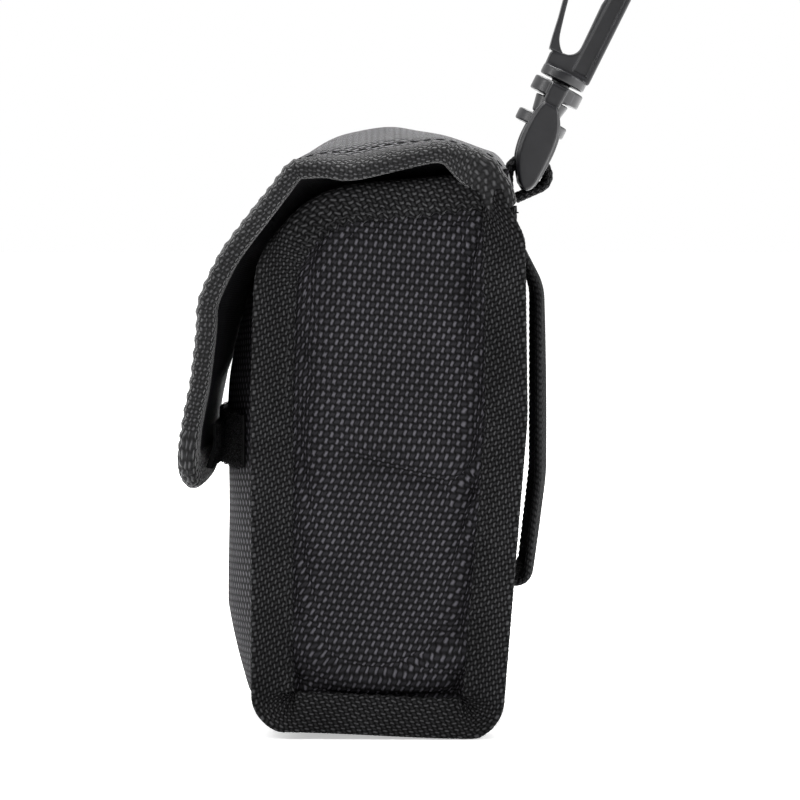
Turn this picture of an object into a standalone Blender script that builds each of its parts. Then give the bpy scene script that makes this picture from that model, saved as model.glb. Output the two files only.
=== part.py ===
"""Padded carrying pouch with a fold-over flap, a belt loop and a swivel snap hook.

The frame: origin under the middle of the pouch, +Z up, the front with the flap
faces -Y, and X runs across the width.  Sizes below are in millimetres.
"""
from math import cos, pi, radians, sin, tan

import bmesh
import bpy
from mathutils import Matrix, Vector

MM = 0.001
GAP = 0.3                       # air left between pieces that touch

# Pouch body: the outer fabric's outline in the YZ plane
POUCH_WIDTH = 92.0              # over the two edge tapes
FRONT = -27.0                   # front panel at the edge tapes
BACK = 27.0                     # back panel at the top
BACK_INSET = 5.0                # how far the back leans in at the bottom
BACK_BELLY = 0.5                # how far its middle stands out
SEAM_INSET = 0.4                # how far its top end leans in
FRONT_LEAN = 1.4                # how far the front leans in at the mouth
MOUTH = 118.7                   # mouth height at the front
MOUTH_RISE = 4.8                # the mouth climbs this much towards the back
FLAP_SEAM = 126.4               # top end of the back panel, where the flap bends
FLOOR_LIFT = 2.6                # the bottom panel's edges stand this high
MOUTH_RADIUS = 22.0
FRONT_BULGE = 10.4              # the filled front panel's swell at its middle
BACK_BULGE = 1.0

# Layers, from the outside in
SHELL = 1.2
FOAM = 3.0
LINING = 0.8
FOAM_DEPTH = SHELL + GAP
LINING_DEPTH = FOAM_DEPTH + FOAM + GAP
WALL = LINING_DEPTH + LINING
BOTTOM_RADIUS = WALL + 0.6        # leaves the lining a bend of its own

# Edge tapes that bind the seams and the mouth
TAPE = 1.0
TAPE_LEG = 5.8                  # the side leg's reach inside the panel's edge
TAPE_PROUD = 5.0                # beyond the side panel, in X
TAPE_OUT = 3.2                  # beyond the front and back panels
TAPE_LAP = 2.5                  # how far the other leg laps onto the strip
MOUTH_TAPE_OUT = 2.3

# Flap
FLAP_SHELL = 1.0
FLAP_FOAM = 1.5
FLAP_LINING = 0.6
FLAP_EDGE = 4.2                 # thickness of the bound edge
FLAP_BORDER = 9.7               # width of the bound edge
FLAP_CORNER = 14.0              # corner radius at the tip
FLAP_CROWN = 9.3                # the crown's height over the flap seam
FLAP_DROP = 71.0                # from the fold down to the tip
FOLD_RISE = 0.8                 # the front bend starts this much over the flap seam
EDGE_DROOP = 2.2                # how sharply the flap's sides droop

# Hook-and-loop closure
LOOP_TAPE = 1.0
HOOK_TAPE = 1.2
CLOSURE_WIDTH = 60.0
CLOSURE_LOW = FLAP_SEAM + FOLD_RISE - FLAP_DROP + 2.8    # just over the tip
LOOP_HEIGHT = 12.0
HOOK_HEIGHT = 10.0
LOOP_FACE = FRONT_BULGE + 1.3 * GAP + LOOP_TAPE
HOOK_FACE = LOOP_FACE + GAP + HOOK_TAPE
STANDOFF = HOOK_FACE + GAP + FLAP_EDGE      # the flap's outside from the front

# Belt loop
BELT_WIDTH = 38.0
BELT_WEB = 1.6
BELT_TOP = 109.8
BELT_BOTTOM = 31.0
BELT_TAIL = 14.0                # the length sewn down behind its lower end
BELT_LOW_BEND = 56.0            # heights between which the webbing runs straight
BELT_HIGH_BEND = 99.0
BELT_STANDOFF = 6.9             # its outside from the back panel
BELT_FOLD = 2.3                 # radius of the fold at its lower end

# Hanging loop
HANG_WEB = 1.2
HANG_RADIUS = 4.6
HANG_SEWN = 119.8               # height where the loop leaves its tab
HANG_RISE = 4.4                 # loop centre above that
HANG_BACK = 5.3                 # loop centre behind the back panel
TAB_LENGTH = 9.0

# Swivel eye and snap hook, measured along the swivel axis from the eye's bar
TILT = 26.5                     # degrees the hook leans back
BAR_RADIUS = 1.9
EYE_SLOT = 11.2                 # width inside the eye, for the webbing
HANG_WIDTH = EYE_SLOT - 1.2
EYE_LIMB = 3.0
EYE_RADIUS = 6.07
AXIS_SHIFT = -2.55              # the swivel axis lies in front of the bar
DISC_LOW = 11.7
DISC_HIGH = 14.5
COLLAR_LOW = 19.5
COLLAR_HIGH = 22.9
STUD_RADIUS = 2.3
BARB_RADIUS = 4.1
BARB_END = 3.3
RIB_DEPTH = 3.6
RIB_WIDTH = 2.6
FLANGE_RADIUS = 5.5
FLANGE = 2.4
HOOK_THICK = 5.5
HOOK_BACK = 5.9                 # outside of the spine from the swivel axis
HOOK_OUTER = 10.2               # outside radius of the hook's crown
HOOK_INNER = 6.0
HOOK_RISE = 27.5                # crown centre above the flange
SPINE = 5.4
BASE_RISE = 3.0
NOSE = 2.6
GATE = 1.2
GATE_WIDTH = 5.0

HALF = POUCH_WIDTH / 2
SIDE_OUTER = HALF - TAPE_PROUD
STRIP_HALF = SIDE_OUTER - SHELL - GAP
BACK_BEND = 0.6 * MOUTH         # height where the back starts to lean in
LINING_FACE = SIDE_OUTER - WALL
FLAP_PANEL_HALF = HALF - FLAP_BORDER - GAP
FOLD_CUT = 0.8                  # slit between flap top and flap front, for the bend


# Blender helpers

def clear_scene():
    for item in list(bpy.data.objects):
        bpy.data.objects.remove(item, do_unlink=True)


def make_collection(name):
    collection = bpy.data.collections.new(name)
    bpy.context.scene.collection.children.link(collection)
    return collection


def make_material(name, colour, roughness):
    material = bpy.data.materials.new(name)
    material.use_nodes = True
    shader = material.node_tree.nodes["Principled BSDF"]
    shader.inputs["Base Color"].default_value = (*colour, 1.0)
    shader.inputs["Roughness"].default_value = roughness
    shader.inputs["Metallic"].default_value = 0.0
    return material


clear_scene()
PARTS = make_collection("carrying_pouch")
CUTTERS = make_collection("cutters")
NYLON = make_material("black_nylon", (0.022, 0.022, 0.025), 0.7)
LINING_CLOTH = make_material("lining_cloth", (0.03, 0.03, 0.033), 0.85)
FOAM_SHEET = make_material("grey_foam", (0.12, 0.12, 0.13), 0.95)
EDGE_TAPE = make_material("edge_tape", (0.018, 0.018, 0.02), 0.75)
WEBBING = make_material("black_webbing", (0.016, 0.016, 0.018), 0.8)
CLOSURE = make_material("hook_and_loop", (0.02, 0.02, 0.021), 0.95)
PLASTIC = make_material("black_plastic", (0.03, 0.031, 0.035), 0.42)


def shade(mesh):
    mesh.shade_smooth()
    mesh.set_sharp_from_angle(angle=radians(40))


def add_piece(name, bm, material, parent=None, collection=PARTS):
    """Turn a bmesh in millimetres into an object in metres."""
    bmesh.ops.transform(bm, matrix=Matrix.Scale(MM, 4), verts=bm.verts)
    mesh = bpy.data.meshes.new(name)
    bm.to_mesh(mesh)
    bm.free()
    shade(mesh)
    mesh.materials.append(material)
    piece = bpy.data.objects.new(name, mesh)
    collection.objects.link(piece)
    piece.parent = parent
    return piece


def mapped_grid(columns, rows, place, flip=False):
    """A grid whose points go where place(column, row) says."""
    bm = bmesh.new()
    bmesh.ops.create_grid(bm, x_segments=columns, y_segments=rows, size=1.0)
    for vert in bm.verts:
        column = round((vert.co.x + 1) / 2 * columns)
        row = round((vert.co.y + 1) / 2 * rows)
        vert.co = Vector(place(column, row))
    if flip:
        bmesh.ops.reverse_faces(bm, faces=bm.faces)
    return bm


def thicken(piece, thickness, depth=0.0):
    """Give an open surface a wall that starts depth below its outer face."""
    wall = piece.modifiers.new("wall", "SOLIDIFY")
    wall.thickness = thickness * MM
    wall.offset = -1 - 2 * depth / thickness
    return piece


# Outlines in the YZ plane

def round_corners(corners, longest):
    """Round each inner corner (y, z, radius), then split the long straight runs."""
    points = [Vector(corners[0][:2])]
    for before, corner, after in zip(corners, corners[1:], corners[2:]):
        here = Vector(corner[:2])
        back = (Vector(before[:2]) - here).normalized()
        ahead = (Vector(after[:2]) - here).normalized()
        half = back.angle(ahead) / 2
        centre = here + (back + ahead).normalized() * (corner[2] / sin(half))
        start = here + back * (corner[2] / tan(half))
        turn = pi - 2 * half
        if back.cross(ahead) > 0:
            turn = -turn
        steps = max(2, round(abs(turn) / radians(18)))
        for step in range(steps + 1):
            swing = Matrix.Rotation(turn * step / steps, 2)
            points.append(centre + swing @ (start - centre))
    points.append(Vector(corners[-1][:2]))
    dense = [points[0]]
    for start, end in zip(points, points[1:]):
        pieces = max(1, round((end - start).length / longest))
        dense += [start.lerp(end, (step + 1) / pieces) for step in range(pieces)]
    return dense


def outward(points, index):
    """The outward normal of a path that goes down the back and up the front."""
    before = points[max(index - 1, 0)]
    after = points[min(index + 1, len(points) - 1)]
    along = (after - before).normalized()
    return Vector((-along.y, along.x))


def offset_point(points, index, distance):
    return points[index] + outward(points, index) * distance


def panel_bulge(point, across):
    """How far the filled pouch pushes a wall out; across runs -1..1."""
    pillow = 1 - across ** 2
    if point.y < FLOOR_LIFT + GAP:
        return FLOOR_LIFT * min(1.0, 1.6 * pillow)
    share = min((point.y - FLOOR_LIFT) / (MOUTH - FLOOR_LIFT), 1.0)
    if point.x > 0:
        return BACK_BULGE * pillow * sin(pi * share)
    low = min(1.0, share / 0.2) ** 0.35
    high = max(0.0, 1 - (max(0.0, share - 0.57) / 0.37) ** 2)
    return FRONT_BULGE * pillow * low * high


OUTLINE = round_corners([
    (BACK - SEAM_INSET, FLAP_SEAM, 0),
    (BACK + BACK_BELLY, BACK_BEND, 60),
    (BACK - BACK_INSET, FLOOR_LIFT, BOTTOM_RADIUS),
    (FRONT, FLOOR_LIFT, BOTTOM_RADIUS),
    (FRONT, 0.65 * MOUTH, 150),
    (FRONT + FRONT_LEAN, MOUTH, MOUTH_RADIUS),
    (BACK, MOUTH + MOUTH_RISE, 0),
], 11)
INNER_START = 0.36              # the inner layers start at this share of the first run
SEAM_SPAN = 0.32                # the seam ends at this share of the mouth's corner radius
OUTLINE.insert(1, OUTLINE[0].lerp(OUTLINE[1], INNER_START))
SEAM_END = max(index for index, point in enumerate(OUTLINE)
               if point.x < FRONT + SEAM_SPAN * MOUTH_RADIUS and point.y > MOUTH / 2)
STRIP = OUTLINE[:SEAM_END + 1]
MOUTH_EDGE = OUTLINE[SEAM_END:]
LOW_BACK = max(index for index, point in enumerate(STRIP)
               if point.x > 0 and point.y > FLOOR_LIFT + BOTTOM_RADIUS / 2)
LOW_FRONT = min(index for index, point in enumerate(STRIP)
                if point.x < 0 and point.y > FLOOR_LIFT + BOTTOM_RADIUS / 2)


# Pouch body

def strip_layer(name, material, thickness, depth, first=0, last=SEAM_END, half=STRIP_HALF):
    """One layer of the wall that wraps the back, the bottom and the front."""
    columns = 8

    def place(column, row):
        across = 2 * column / columns - 1
        index = first + row
        bulge = panel_bulge(STRIP[index], across * half / STRIP_HALF)
        spot = offset_point(STRIP, index, bulge)
        return across * half, spot.x, max(spot.y, 0.0)

    bm = mapped_grid(columns, last - first, place)
    return thicken(add_piece(name, bm, material), thickness, depth)


def plate_outline(inset, top_inset):
    """The side wall's outline, inset from the strip and from the mouth edge."""
    rim = [offset_point(STRIP, index, -inset) for index in range(len(STRIP))]
    rim = [point for point in rim if point.y < MOUTH + MOUTH_RISE - top_inset]
    last = BACK - max(inset, GAP)
    for index in range(2, len(MOUTH_EDGE)):
        point = offset_point(MOUTH_EDGE, index, -top_inset)
        if point.x < last - 1:
            rim.append(point)
    rim.append(Vector((last, MOUTH + MOUTH_RISE - top_inset)))
    return rim


def flat_plate(name, outline, low, high, material, parent=None):
    """A plate between two X values whose outline lies in the YZ plane."""
    curve = bpy.data.curves.new(name, "CURVE")
    curve.dimensions = "2D"
    curve.fill_mode = "BOTH"
    curve.extrude = (high - low) / 2 * MM
    spline = curve.splines.new("POLY")
    spline.points.add(len(outline) - 1)
    for spot, point in zip(spline.points, outline):
        spot.co = (point[0] * MM, point[1] * MM, 0, 1)
    spline.use_cyclic_u = True
    curve.materials.append(material)
    plate = bpy.data.objects.new(name, curve)
    PARTS.objects.link(plate)
    plate.parent = parent
    plate.rotation_euler = (pi / 2, 0, pi / 2)
    plate.location = ((low + high) / 2 * MM, 0, 0)
    return plate


def side_plate(name, material, side, outer, thickness, inset, top_inset):
    low, high = sorted((side * outer, side * (outer - thickness)))
    return flat_plate(name, plate_outline(inset, top_inset), low, high, material)


def taped_strip(name, side, path, section, last, floor=None):
    """A folded tape swept along a path; section holds (out, x) of its outer face."""
    columns = len(section) - 1

    def place(column, row):
        out, x = section[column]
        spot = offset_point(path, row, out)
        height = spot.y if floor is None else max(spot.y, floor)
        return side * x, spot.x, height

    bm = mapped_grid(columns, last, place, flip=side > 0)
    return thicken(add_piece(name, bm, EDGE_TAPE), TAPE)


def seam_tape(name, side):
    """Binds the strip to a side panel; the floor presses its lower run flat."""
    leg = SIDE_OUTER + GAP + TAPE
    section = [
        (-TAPE_LEG, leg),
        (-2.0, leg + 0.9),
        (TAPE_OUT / 2, HALF),
        (TAPE_OUT, HALF - 0.8),
        (TAPE_OUT - 0.3, STRIP_HALF - TAPE_LAP),
    ]
    return taped_strip(name, side, STRIP[1:], section, len(STRIP) - 2, floor=0.0)


def mouth_side_tape(name, side):
    """Wraps the side wall's free top edge."""
    outer = SIDE_OUTER + GAP + TAPE
    inner = LINING_FACE - GAP - TAPE
    section = [
        (-TAPE_LEG, outer),
        (MOUTH_TAPE_OUT - 0.8, outer),
        (MOUTH_TAPE_OUT, outer - 0.8),
        (MOUTH_TAPE_OUT, inner + 0.8),
        (MOUTH_TAPE_OUT - 0.8, inner),
        (-TAPE_LEG, inner),
    ]
    path = [MOUTH_EDGE[0].lerp(MOUTH_EDGE[1], 0.4)]
    path += [point for point in MOUTH_EDGE[1:] if point.x < BACK - WALL - 6]
    ahead, behind = path[-1], MOUTH_EDGE[-1]
    stop = BACK - WALL - 4 * GAP
    path.append(ahead.lerp(behind, (stop - ahead.x) / (behind.x - ahead.x)))
    return taped_strip(name, side, path, section, len(path) - 1)


def mouth_front_tape():
    """Wraps the front wall's top edge, between the two side walls."""
    columns = 8
    half = LINING_FACE - TAPE - 2 * GAP
    last = len(STRIP) - 1
    normal = outward(STRIP, last)
    along = Vector((normal.y, -normal.x))
    reach = TAPE + GAP
    section = [
        # row of the strip, how far past it, how far out
        (last - 1, 0.0, reach),
        (last, reach - 0.7, reach),
        (last, reach, reach - 0.7),
        (last, reach, 0.7 - WALL - reach),
        (last, reach - 0.7, -WALL - reach),
        (last - 1, 0.0, -WALL - reach - 4 * GAP),
    ]

    def place(column, row):
        across = 2 * column / columns - 1
        index, run, out = section[row]
        swell = panel_bulge(STRIP[index], across * half / STRIP_HALF)
        spot = offset_point(STRIP, index, out + swell) + along * run
        return across * half, spot.x, spot.y

    bm = mapped_grid(columns, len(section) - 1, place)
    thicken(add_piece("mouth_tape_front", bm, EDGE_TAPE), TAPE)


def build_body():
    strip_layer("outer_strip", NYLON, SHELL, 0.0)
    strip_layer("back_foam", FOAM_SHEET, FOAM, FOAM_DEPTH, first=1, last=LOW_BACK - 1)
    strip_layer("bottom_foam", FOAM_SHEET, FOAM, FOAM_DEPTH,
                first=LOW_BACK + 4, last=LOW_FRONT - 4)
    strip_layer("front_foam", FOAM_SHEET, FOAM, FOAM_DEPTH, first=LOW_FRONT + 1)
    strip_layer("lining_strip", LINING_CLOTH, LINING, LINING_DEPTH, first=1)
    for side, word in ((-1, "left"), (1, "right")):
        side_plate(f"side_panel_{word}", NYLON, side, SIDE_OUTER, SHELL, 0.0, 0.0)
        side_plate(f"side_foam_{word}", FOAM_SHEET, side, SIDE_OUTER - FOAM_DEPTH, FOAM,
                   WALL + 2 * GAP, 0.0)
        side_plate(f"side_lining_{word}", LINING_CLOTH, side, SIDE_OUTER - LINING_DEPTH,
                   LINING, WALL + 2 * GAP, 0.0)
        seam_tape(f"seam_tape_{word}", side)
        mouth_side_tape(f"mouth_tape_{word}", side)
    mouth_front_tape()


def ribbon(name, corners, width, thickness, material, longest=9):
    """A flat band of webbing whose middle line lies in the YZ plane."""
    path = round_corners(corners, longest)
    columns = 2

    def place(column, row):
        return (column / columns - 0.5) * width, path[row].x, path[row].y

    bm = mapped_grid(columns, len(path) - 1, place)
    piece = add_piece(name, bm, material)
    wall = piece.modifiers.new("wall", "SOLIDIFY")
    wall.thickness = thickness * MM
    wall.offset = 0
    return piece


def back_face(height):
    """Outside of the back panel at its middle, at a height."""
    share = min(height / BACK_BEND, 1.0)
    lean = (BACK_INSET + BACK_BELLY) * (1 - share)
    return BACK + BACK_BELLY - lean + BACK_BULGE * sin(pi * min(height / MOUTH, 1.0))


def build_belt_loop():
    near = GAP + BELT_WEB / 2 + 0.2
    far = BELT_STANDOFF - BELT_WEB / 2
    tail = BELT_BOTTOM + BELT_TAIL
    low = BELT_BOTTOM + BELT_WEB / 2
    turn = back_face(BELT_BOTTOM) + near
    flat = back_face(BACK_BEND) + far
    ribbon("belt_loop", [
        (back_face(tail) + near, tail, 0),
        (turn, low, BELT_FOLD),
        (turn + 2 * BELT_FOLD + GAP, low, BELT_FOLD),
        (flat, BELT_LOW_BEND, 40),
        (flat, BELT_HIGH_BEND, 12),
        (back_face(BELT_TOP) + near, BELT_TOP, 0),
    ], BELT_WIDTH, BELT_WEB, WEBBING)


def build_hanging_loop():
    base = BACK + BACK_BULGE * 0.2 + GAP
    first = base + HANG_WEB / 2
    second = first + HANG_WEB + GAP
    ribbon("hanging_tab", [
        (first + 0.6, HANG_SEWN - TAB_LENGTH, 0),
        (first + 0.6, HANG_SEWN - HANG_WEB - 3 * GAP, 0),
    ], HANG_WIDTH, 2 * HANG_WEB, WEBBING)
    centre = Vector((BACK + HANG_BACK, HANG_SEWN + HANG_RISE))
    left, right = centre.x - HANG_RADIUS, centre.x + HANG_RADIUS
    top = centre.y + HANG_RADIUS
    ribbon("hanging_loop", [
        (first, HANG_SEWN, 0),
        (left, centre.y - 1.5, 2.0),
        (left, top, HANG_RADIUS - 0.2),
        (right, top, HANG_RADIUS - 0.2),
        (right, centre.y - 1.5, 3.0),
        (second, HANG_SEWN, 0),
    ], HANG_WIDTH, HANG_WEB, WEBBING, longest=5)
    return centre


# Flap

def flap_rows():
    """Rows (middle y, middle z, edge y, edge z) of the flap's outside, tip to back."""
    fold = FLAP_SEAM + FOLD_RISE
    front = [
        # share of the drop, share of the standoff at the middle and at the edge
        (1.00, 0.985, 1.10), (0.93, 1.00, 1.125), (0.855, 0.995, 1.09),
        (0.80, 0.975, 1.055), (0.74, 0.92, 1.015), (0.66, 0.885, 0.94), (0.51, 0.85, 0.85),
        (0.43, 0.80, 0.84), (0.37, 0.74, 0.75), (0.285, 0.60, 0.57),
        (0.22, 0.45, 0.385), (0.14, 0.22, 0.13), (0.065, -0.05, -0.10),
    ]
    rows = []
    for drop, middle, edge in front:
        height = fold - drop * FLAP_DROP
        rows.append((FRONT - middle * STANDOFF, height, FRONT - edge * STANDOFF, height))
    depth = BACK - FRONT
    crown = [
        # share of the depth, height over the seam at the middle and at the edge
        (0.10, 0.1, 0.08), (0.175, 0.43, 0.13), (0.26, 0.71, 0.09), (0.345, 0.86, 0.0),
        (0.50, 1.0, 0.19), (0.62, 0.92, 0.39), (0.735, 0.79, 0.56), (0.87, 0.52, 0.44),
        (0.93, 0.45, 0.40), (0.965, 0.30, 0.28), (0.985, 0.13, 0.13),
    ]
    for share, middle, edge in crown:
        y = FRONT + share * depth
        rows.append((y, FLAP_SEAM + middle * FLAP_CROWN, y, FLAP_SEAM + edge * FLAP_CROWN))
    return rows, len(front) - 1


ROWS, FOLD_ROW = flap_rows()
REACH = [0.0]
for here, there in zip(ROWS, ROWS[1:]):
    REACH.append(REACH[-1] + Vector((there[0] - here[0], there[1] - here[1])).length)
FOLD_REACH = REACH[FOLD_ROW]


def flap_point(x, reach):
    """A point of the flap's outside at an x and a distance up from the tip."""
    index = max(i for i in range(len(REACH) - 1) if REACH[i] <= max(reach, 0))
    rest = (reach - REACH[index]) / (REACH[index + 1] - REACH[index])
    low, high = ROWS[index], ROWS[index + 1]
    y0, z0, y1, z1 = (a + (b - a) * rest for a, b in zip(low, high))
    droop = abs(x / HALF) ** EDGE_DROOP
    return x, y0 + (y1 - y0) * droop, z0 + (z1 - z0) * droop


def stations(start, end, corner=0.0):
    """Distances for the rows of a flap piece; a round corner gets rows of its own."""
    places = [start + corner * (1 - cos(radians(22.5 * step))) for step in range(5)]
    places = places if corner else [start]
    places += [reach for reach in REACH if places[-1] + 1 < reach < end - 0.5]
    return places + [end]


def flap_layer(name, material, thickness, depth, start, end, corner=0.0):
    places = stations(start, end, corner)
    columns = 8

    def place(column, row):
        reach = places[row]
        lack = max(0.0, corner - (reach - start))
        half = FLAP_PANEL_HALF
        if corner:
            half -= corner - (corner ** 2 - lack ** 2) ** 0.5
        return flap_point((2 * column / columns - 1) * half, reach)

    bm = mapped_grid(columns, len(places) - 1, place)
    return thicken(add_piece(name, bm, material), thickness, depth)


def flap_layers(word, start, end, corner=0.0):
    foam = FLAP_SHELL + GAP
    lining = foam + FLAP_FOAM + GAP
    flap_layer(f"flap_{word}_panel", NYLON, FLAP_SHELL, 0.0, start, end, corner)
    flap_layer(f"flap_{word}_foam", FOAM_SHEET, FLAP_FOAM, foam, start, end, corner)
    flap_layer(f"flap_{word}_lining", LINING_CLOTH, FLAP_LINING, lining, start, end, corner)


def build_flap_top():
    start = FOLD_REACH + FOLD_CUT / 2
    end = REACH[-1]
    flap_layers("top", start, end)
    places = stations(start, end)
    for side, word in ((-1, "left"), (1, "right")):
        def place(column, row):
            return flap_point(side * (HALF - FLAP_BORDER * (1 - column / 2)), places[row])

        bm = mapped_grid(2, len(places) - 1, place, flip=side < 0)
        thicken(add_piece(f"flap_top_tape_{word}", bm, EDGE_TAPE), FLAP_EDGE)


def border_points(inset, corner, end):
    """Half of the flap front's border, from its tip's middle up one side."""
    half = HALF - inset
    run = [(share * (half - corner), inset) for share in (0.0, 0.5)]
    for step in range(6):
        angle = radians(18 * step)
        run.append((half - corner + corner * sin(angle), inset + corner * (1 - cos(angle))))
    start = FLAP_CORNER
    for reach in stations(start, end)[1:]:
        run.append((half, reach))
    return run


def build_flap_front():
    end = FOLD_REACH - FOLD_CUT / 2
    inner_corner = FLAP_CORNER - FLAP_BORDER
    start = FLAP_BORDER + GAP
    flap_layers("front", start, end, inner_corner - GAP)
    outer = border_points(0.0, FLAP_CORNER, end)
    inner = border_points(FLAP_BORDER, inner_corner, end)
    last = len(outer) - 1

    def place(column, row):
        side = -1 if row < last else 1
        index = abs(row - last)
        x = inner[index][0] + (outer[index][0] - inner[index][0]) * column / 2
        reach = inner[index][1] + (outer[index][1] - inner[index][1]) * column / 2
        return flap_point(side * x, reach)

    bm = mapped_grid(2, 2 * last, place)
    thicken(add_piece("flap_front_tape", bm, EDGE_TAPE), FLAP_EDGE)


def build_closure():
    columns = 6
    half = CLOSURE_WIDTH / 2

    def loop_place(column, row):
        x = (2 * column / columns - 1) * half
        z = CLOSURE_LOW + LOOP_HEIGHT * row / 2
        bulge = panel_bulge(Vector((FRONT, z)), x / STRIP_HALF)
        return x, FRONT - bulge - LOOP_FACE + FRONT_BULGE, z

    def hook_place(column, row):
        x = (2 * column / columns - 1) * half
        if row == 0:
            _, y, z = flap_point(x, CLOSURE_LOW - (FLAP_SEAM + FOLD_RISE - FLAP_DROP))
            return x, y + FLAP_EDGE + GAP, z
        z = CLOSURE_LOW + HOOK_HEIGHT * row / 2
        return x, FRONT - HOOK_FACE, z

    bm = mapped_grid(columns, 2, loop_place)
    thicken(add_piece("loop_tape", bm, CLOSURE), LOOP_TAPE)
    bm = mapped_grid(columns, 2, hook_place)
    thicken(add_piece("hook_tape", bm, CLOSURE), HOOK_TAPE)


# Swivel eye and snap hook, in the tilted frame of the eye's bar:
# local X as the world's, local Y out of the back, local Z up the swivel axis.

def add_frame(name, location, tilt, parent=None):
    frame = bpy.data.objects.new(name, None)
    PARTS.objects.link(frame)
    frame.location = Vector(location) * MM
    frame.rotation_euler = (-radians(tilt), 0, 0)
    frame.parent = parent
    return frame


def turned(name, radius_low, radius_high, low, high, parent, segments=32, y=0.0):
    bm = bmesh.new()
    bmesh.ops.create_cone(bm, cap_ends=True, segments=segments, radius1=radius_low,
                          radius2=radius_high, depth=high - low,
                          matrix=Matrix.Translation((0, y, (low + high) / 2)))
    return add_piece(name, bm, PLASTIC, parent)


def block(name, centre, size, parent):
    bm = bmesh.new()
    place = Matrix.Translation(centre) @ Matrix.Diagonal((*size, 1))
    bmesh.ops.create_cube(bm, size=1.0, matrix=place)
    return add_piece(name, bm, PLASTIC, parent)


def as_mesh(item):
    """Replace a curve object by its welded mesh, so that it can be cut and joined."""
    bpy.context.view_layer.update()
    graph = bpy.context.evaluated_depsgraph_get()
    mesh = bpy.data.meshes.new_from_object(item.evaluated_get(graph))
    bm = bmesh.new()
    bm.from_mesh(mesh)
    bmesh.ops.remove_doubles(bm, verts=bm.verts, dist=0.000002)
    bm.to_mesh(mesh)
    bm.free()
    name, parent = item.name, item.parent
    local = item.matrix_basis.copy()
    bpy.data.objects.remove(item, do_unlink=True)
    piece = bpy.data.objects.new(name, mesh)
    PARTS.objects.link(piece)
    piece.parent = parent
    piece.matrix_basis = local
    return piece


def combine(target, tools, operation="UNION"):
    for tool in tools:
        PARTS.objects.unlink(tool)
        CUTTERS.objects.link(tool)
        tool.hide_render = True
        tool.display_type = "WIRE"
        step = target.modifiers.new(tool.name, "BOOLEAN")
        step.operation = operation
        step.object = tool
    return target


def leaf_outline():
    """Side outline of one leaf-shaped limb of the eye: (height, centre, half width)."""
    stations_up = [
        (-2.3, 0.7, 0.9), (-0.4, 0.3, 2.2), (1.8, -0.3, 3.1), (4.0, -0.8, 3.85),
        (8.9, -1.3, 4.25), (11.6, -1.4, 4.1), (14.2, -1.8, 3.6), (16.6, -2.3, 2.4),
    ]
    right = [(middle + half, height) for height, middle, half in stations_up]
    left = [(middle - half, height) for height, middle, half in reversed(stations_up)]
    return right + left


def build_eye(frame):
    inner = EYE_SLOT / 2
    outer = inner + EYE_LIMB
    limbs = [as_mesh(flat_plate(f"limb_{word}", leaf_outline(), *span, PLASTIC, frame))
             for word, span in (("left", (-outer, -inner)), ("right", (inner, outer)))]
    bar = turned("eye_bar", BAR_RADIUS, BAR_RADIUS, -inner - 1, inner + 1, frame, 16)
    bar.rotation_euler = (0, pi / 2, 0)
    collar = turned("swivel_eye", EYE_RADIUS, EYE_RADIUS, COLLAR_LOW, COLLAR_HIGH,
                    frame, y=AXIS_SHIFT)
    disc = turned("eye_disc", EYE_RADIUS, EYE_RADIUS, DISC_LOW, DISC_HIGH, frame,
                  y=AXIS_SHIFT)
    ribs = []
    for side in (-1, 1):
        size = (RIB_WIDTH, RIB_DEPTH, COLLAR_HIGH - DISC_LOW - 1)
        centre = (side * (BARB_RADIUS + 2 * GAP + RIB_WIDTH / 2), AXIS_SHIFT,
                  (COLLAR_HIGH + DISC_LOW) / 2)
        ribs.append(block(f"eye_rib_{side + 2}", centre, size, frame))
        ribs.append(block(f"eye_foot_{side + 2}",
                          (side * (inner + 0.4), AXIS_SHIFT + 0.4, DISC_HIGH - 1.2),
                          (3.6, RIB_DEPTH, 3.0), frame))
    combine(collar, [disc, *ribs, *limbs, bar])
    bore = turned("eye_bore", STUD_RADIUS + GAP, STUD_RADIUS + GAP, COLLAR_LOW - 1,
                  COLLAR_HIGH + 1, frame, y=AXIS_SHIFT)
    combine(collar, [bore], "DIFFERENCE")


def arc(centre, radius, first, last, steps):
    angles = [radians(first + (last - first) * step / steps) for step in range(steps + 1)]
    return [(centre[0] + radius * cos(a), centre[1] + radius * sin(a)) for a in angles]


def gate_line(height):
    """Middle of the gate's blade at a height over the flange."""
    root = -HOOK_BACK + 1.1
    tip = HOOK_BACK - HOOK_OUTER - HOOK_INNER + GAP + GATE / 2 + 0.1
    share = (height - BASE_RISE) / (HOOK_RISE - BASE_RISE)
    return root + (tip - root) * (1 - (1 - share) ** 1.5)


def hook_outline():
    """Base, spine, crown and nose, from the swivel axis and over the flange."""
    crown = (HOOK_BACK - HOOK_OUTER, HOOK_RISE)
    nose_out = crown[0] - HOOK_OUTER
    nose_in = crown[0] - HOOK_INNER
    slot = HOOK_BACK - SPINE
    points = [(-HOOK_BACK + 0.6, -0.5), (HOOK_BACK, -0.5)]
    points += arc(crown, HOOK_OUTER, 0, 180, 14)
    points += [(nose_out + 0.3, HOOK_RISE - NOSE), (nose_out + 1.6, HOOK_RISE - NOSE - 0.9),
               (nose_in - 0.8, HOOK_RISE - NOSE), (nose_in, HOOK_RISE - NOSE + 1.4)]
    points += arc(crown, HOOK_INNER, 180, 0, 10)
    points += [(slot - 0.3, 18.0), (slot, BASE_RISE + 3.4), (slot - 0.5, BASE_RISE + 1.6),
               (slot - 1.6, BASE_RISE + 0.8), (slot - 3.0, BASE_RISE + 0.7),
               (-HOOK_BACK + 1.9, BASE_RISE - 0.2), (-HOOK_BACK + 0.2, BASE_RISE - 0.2)]
    return points


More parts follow.
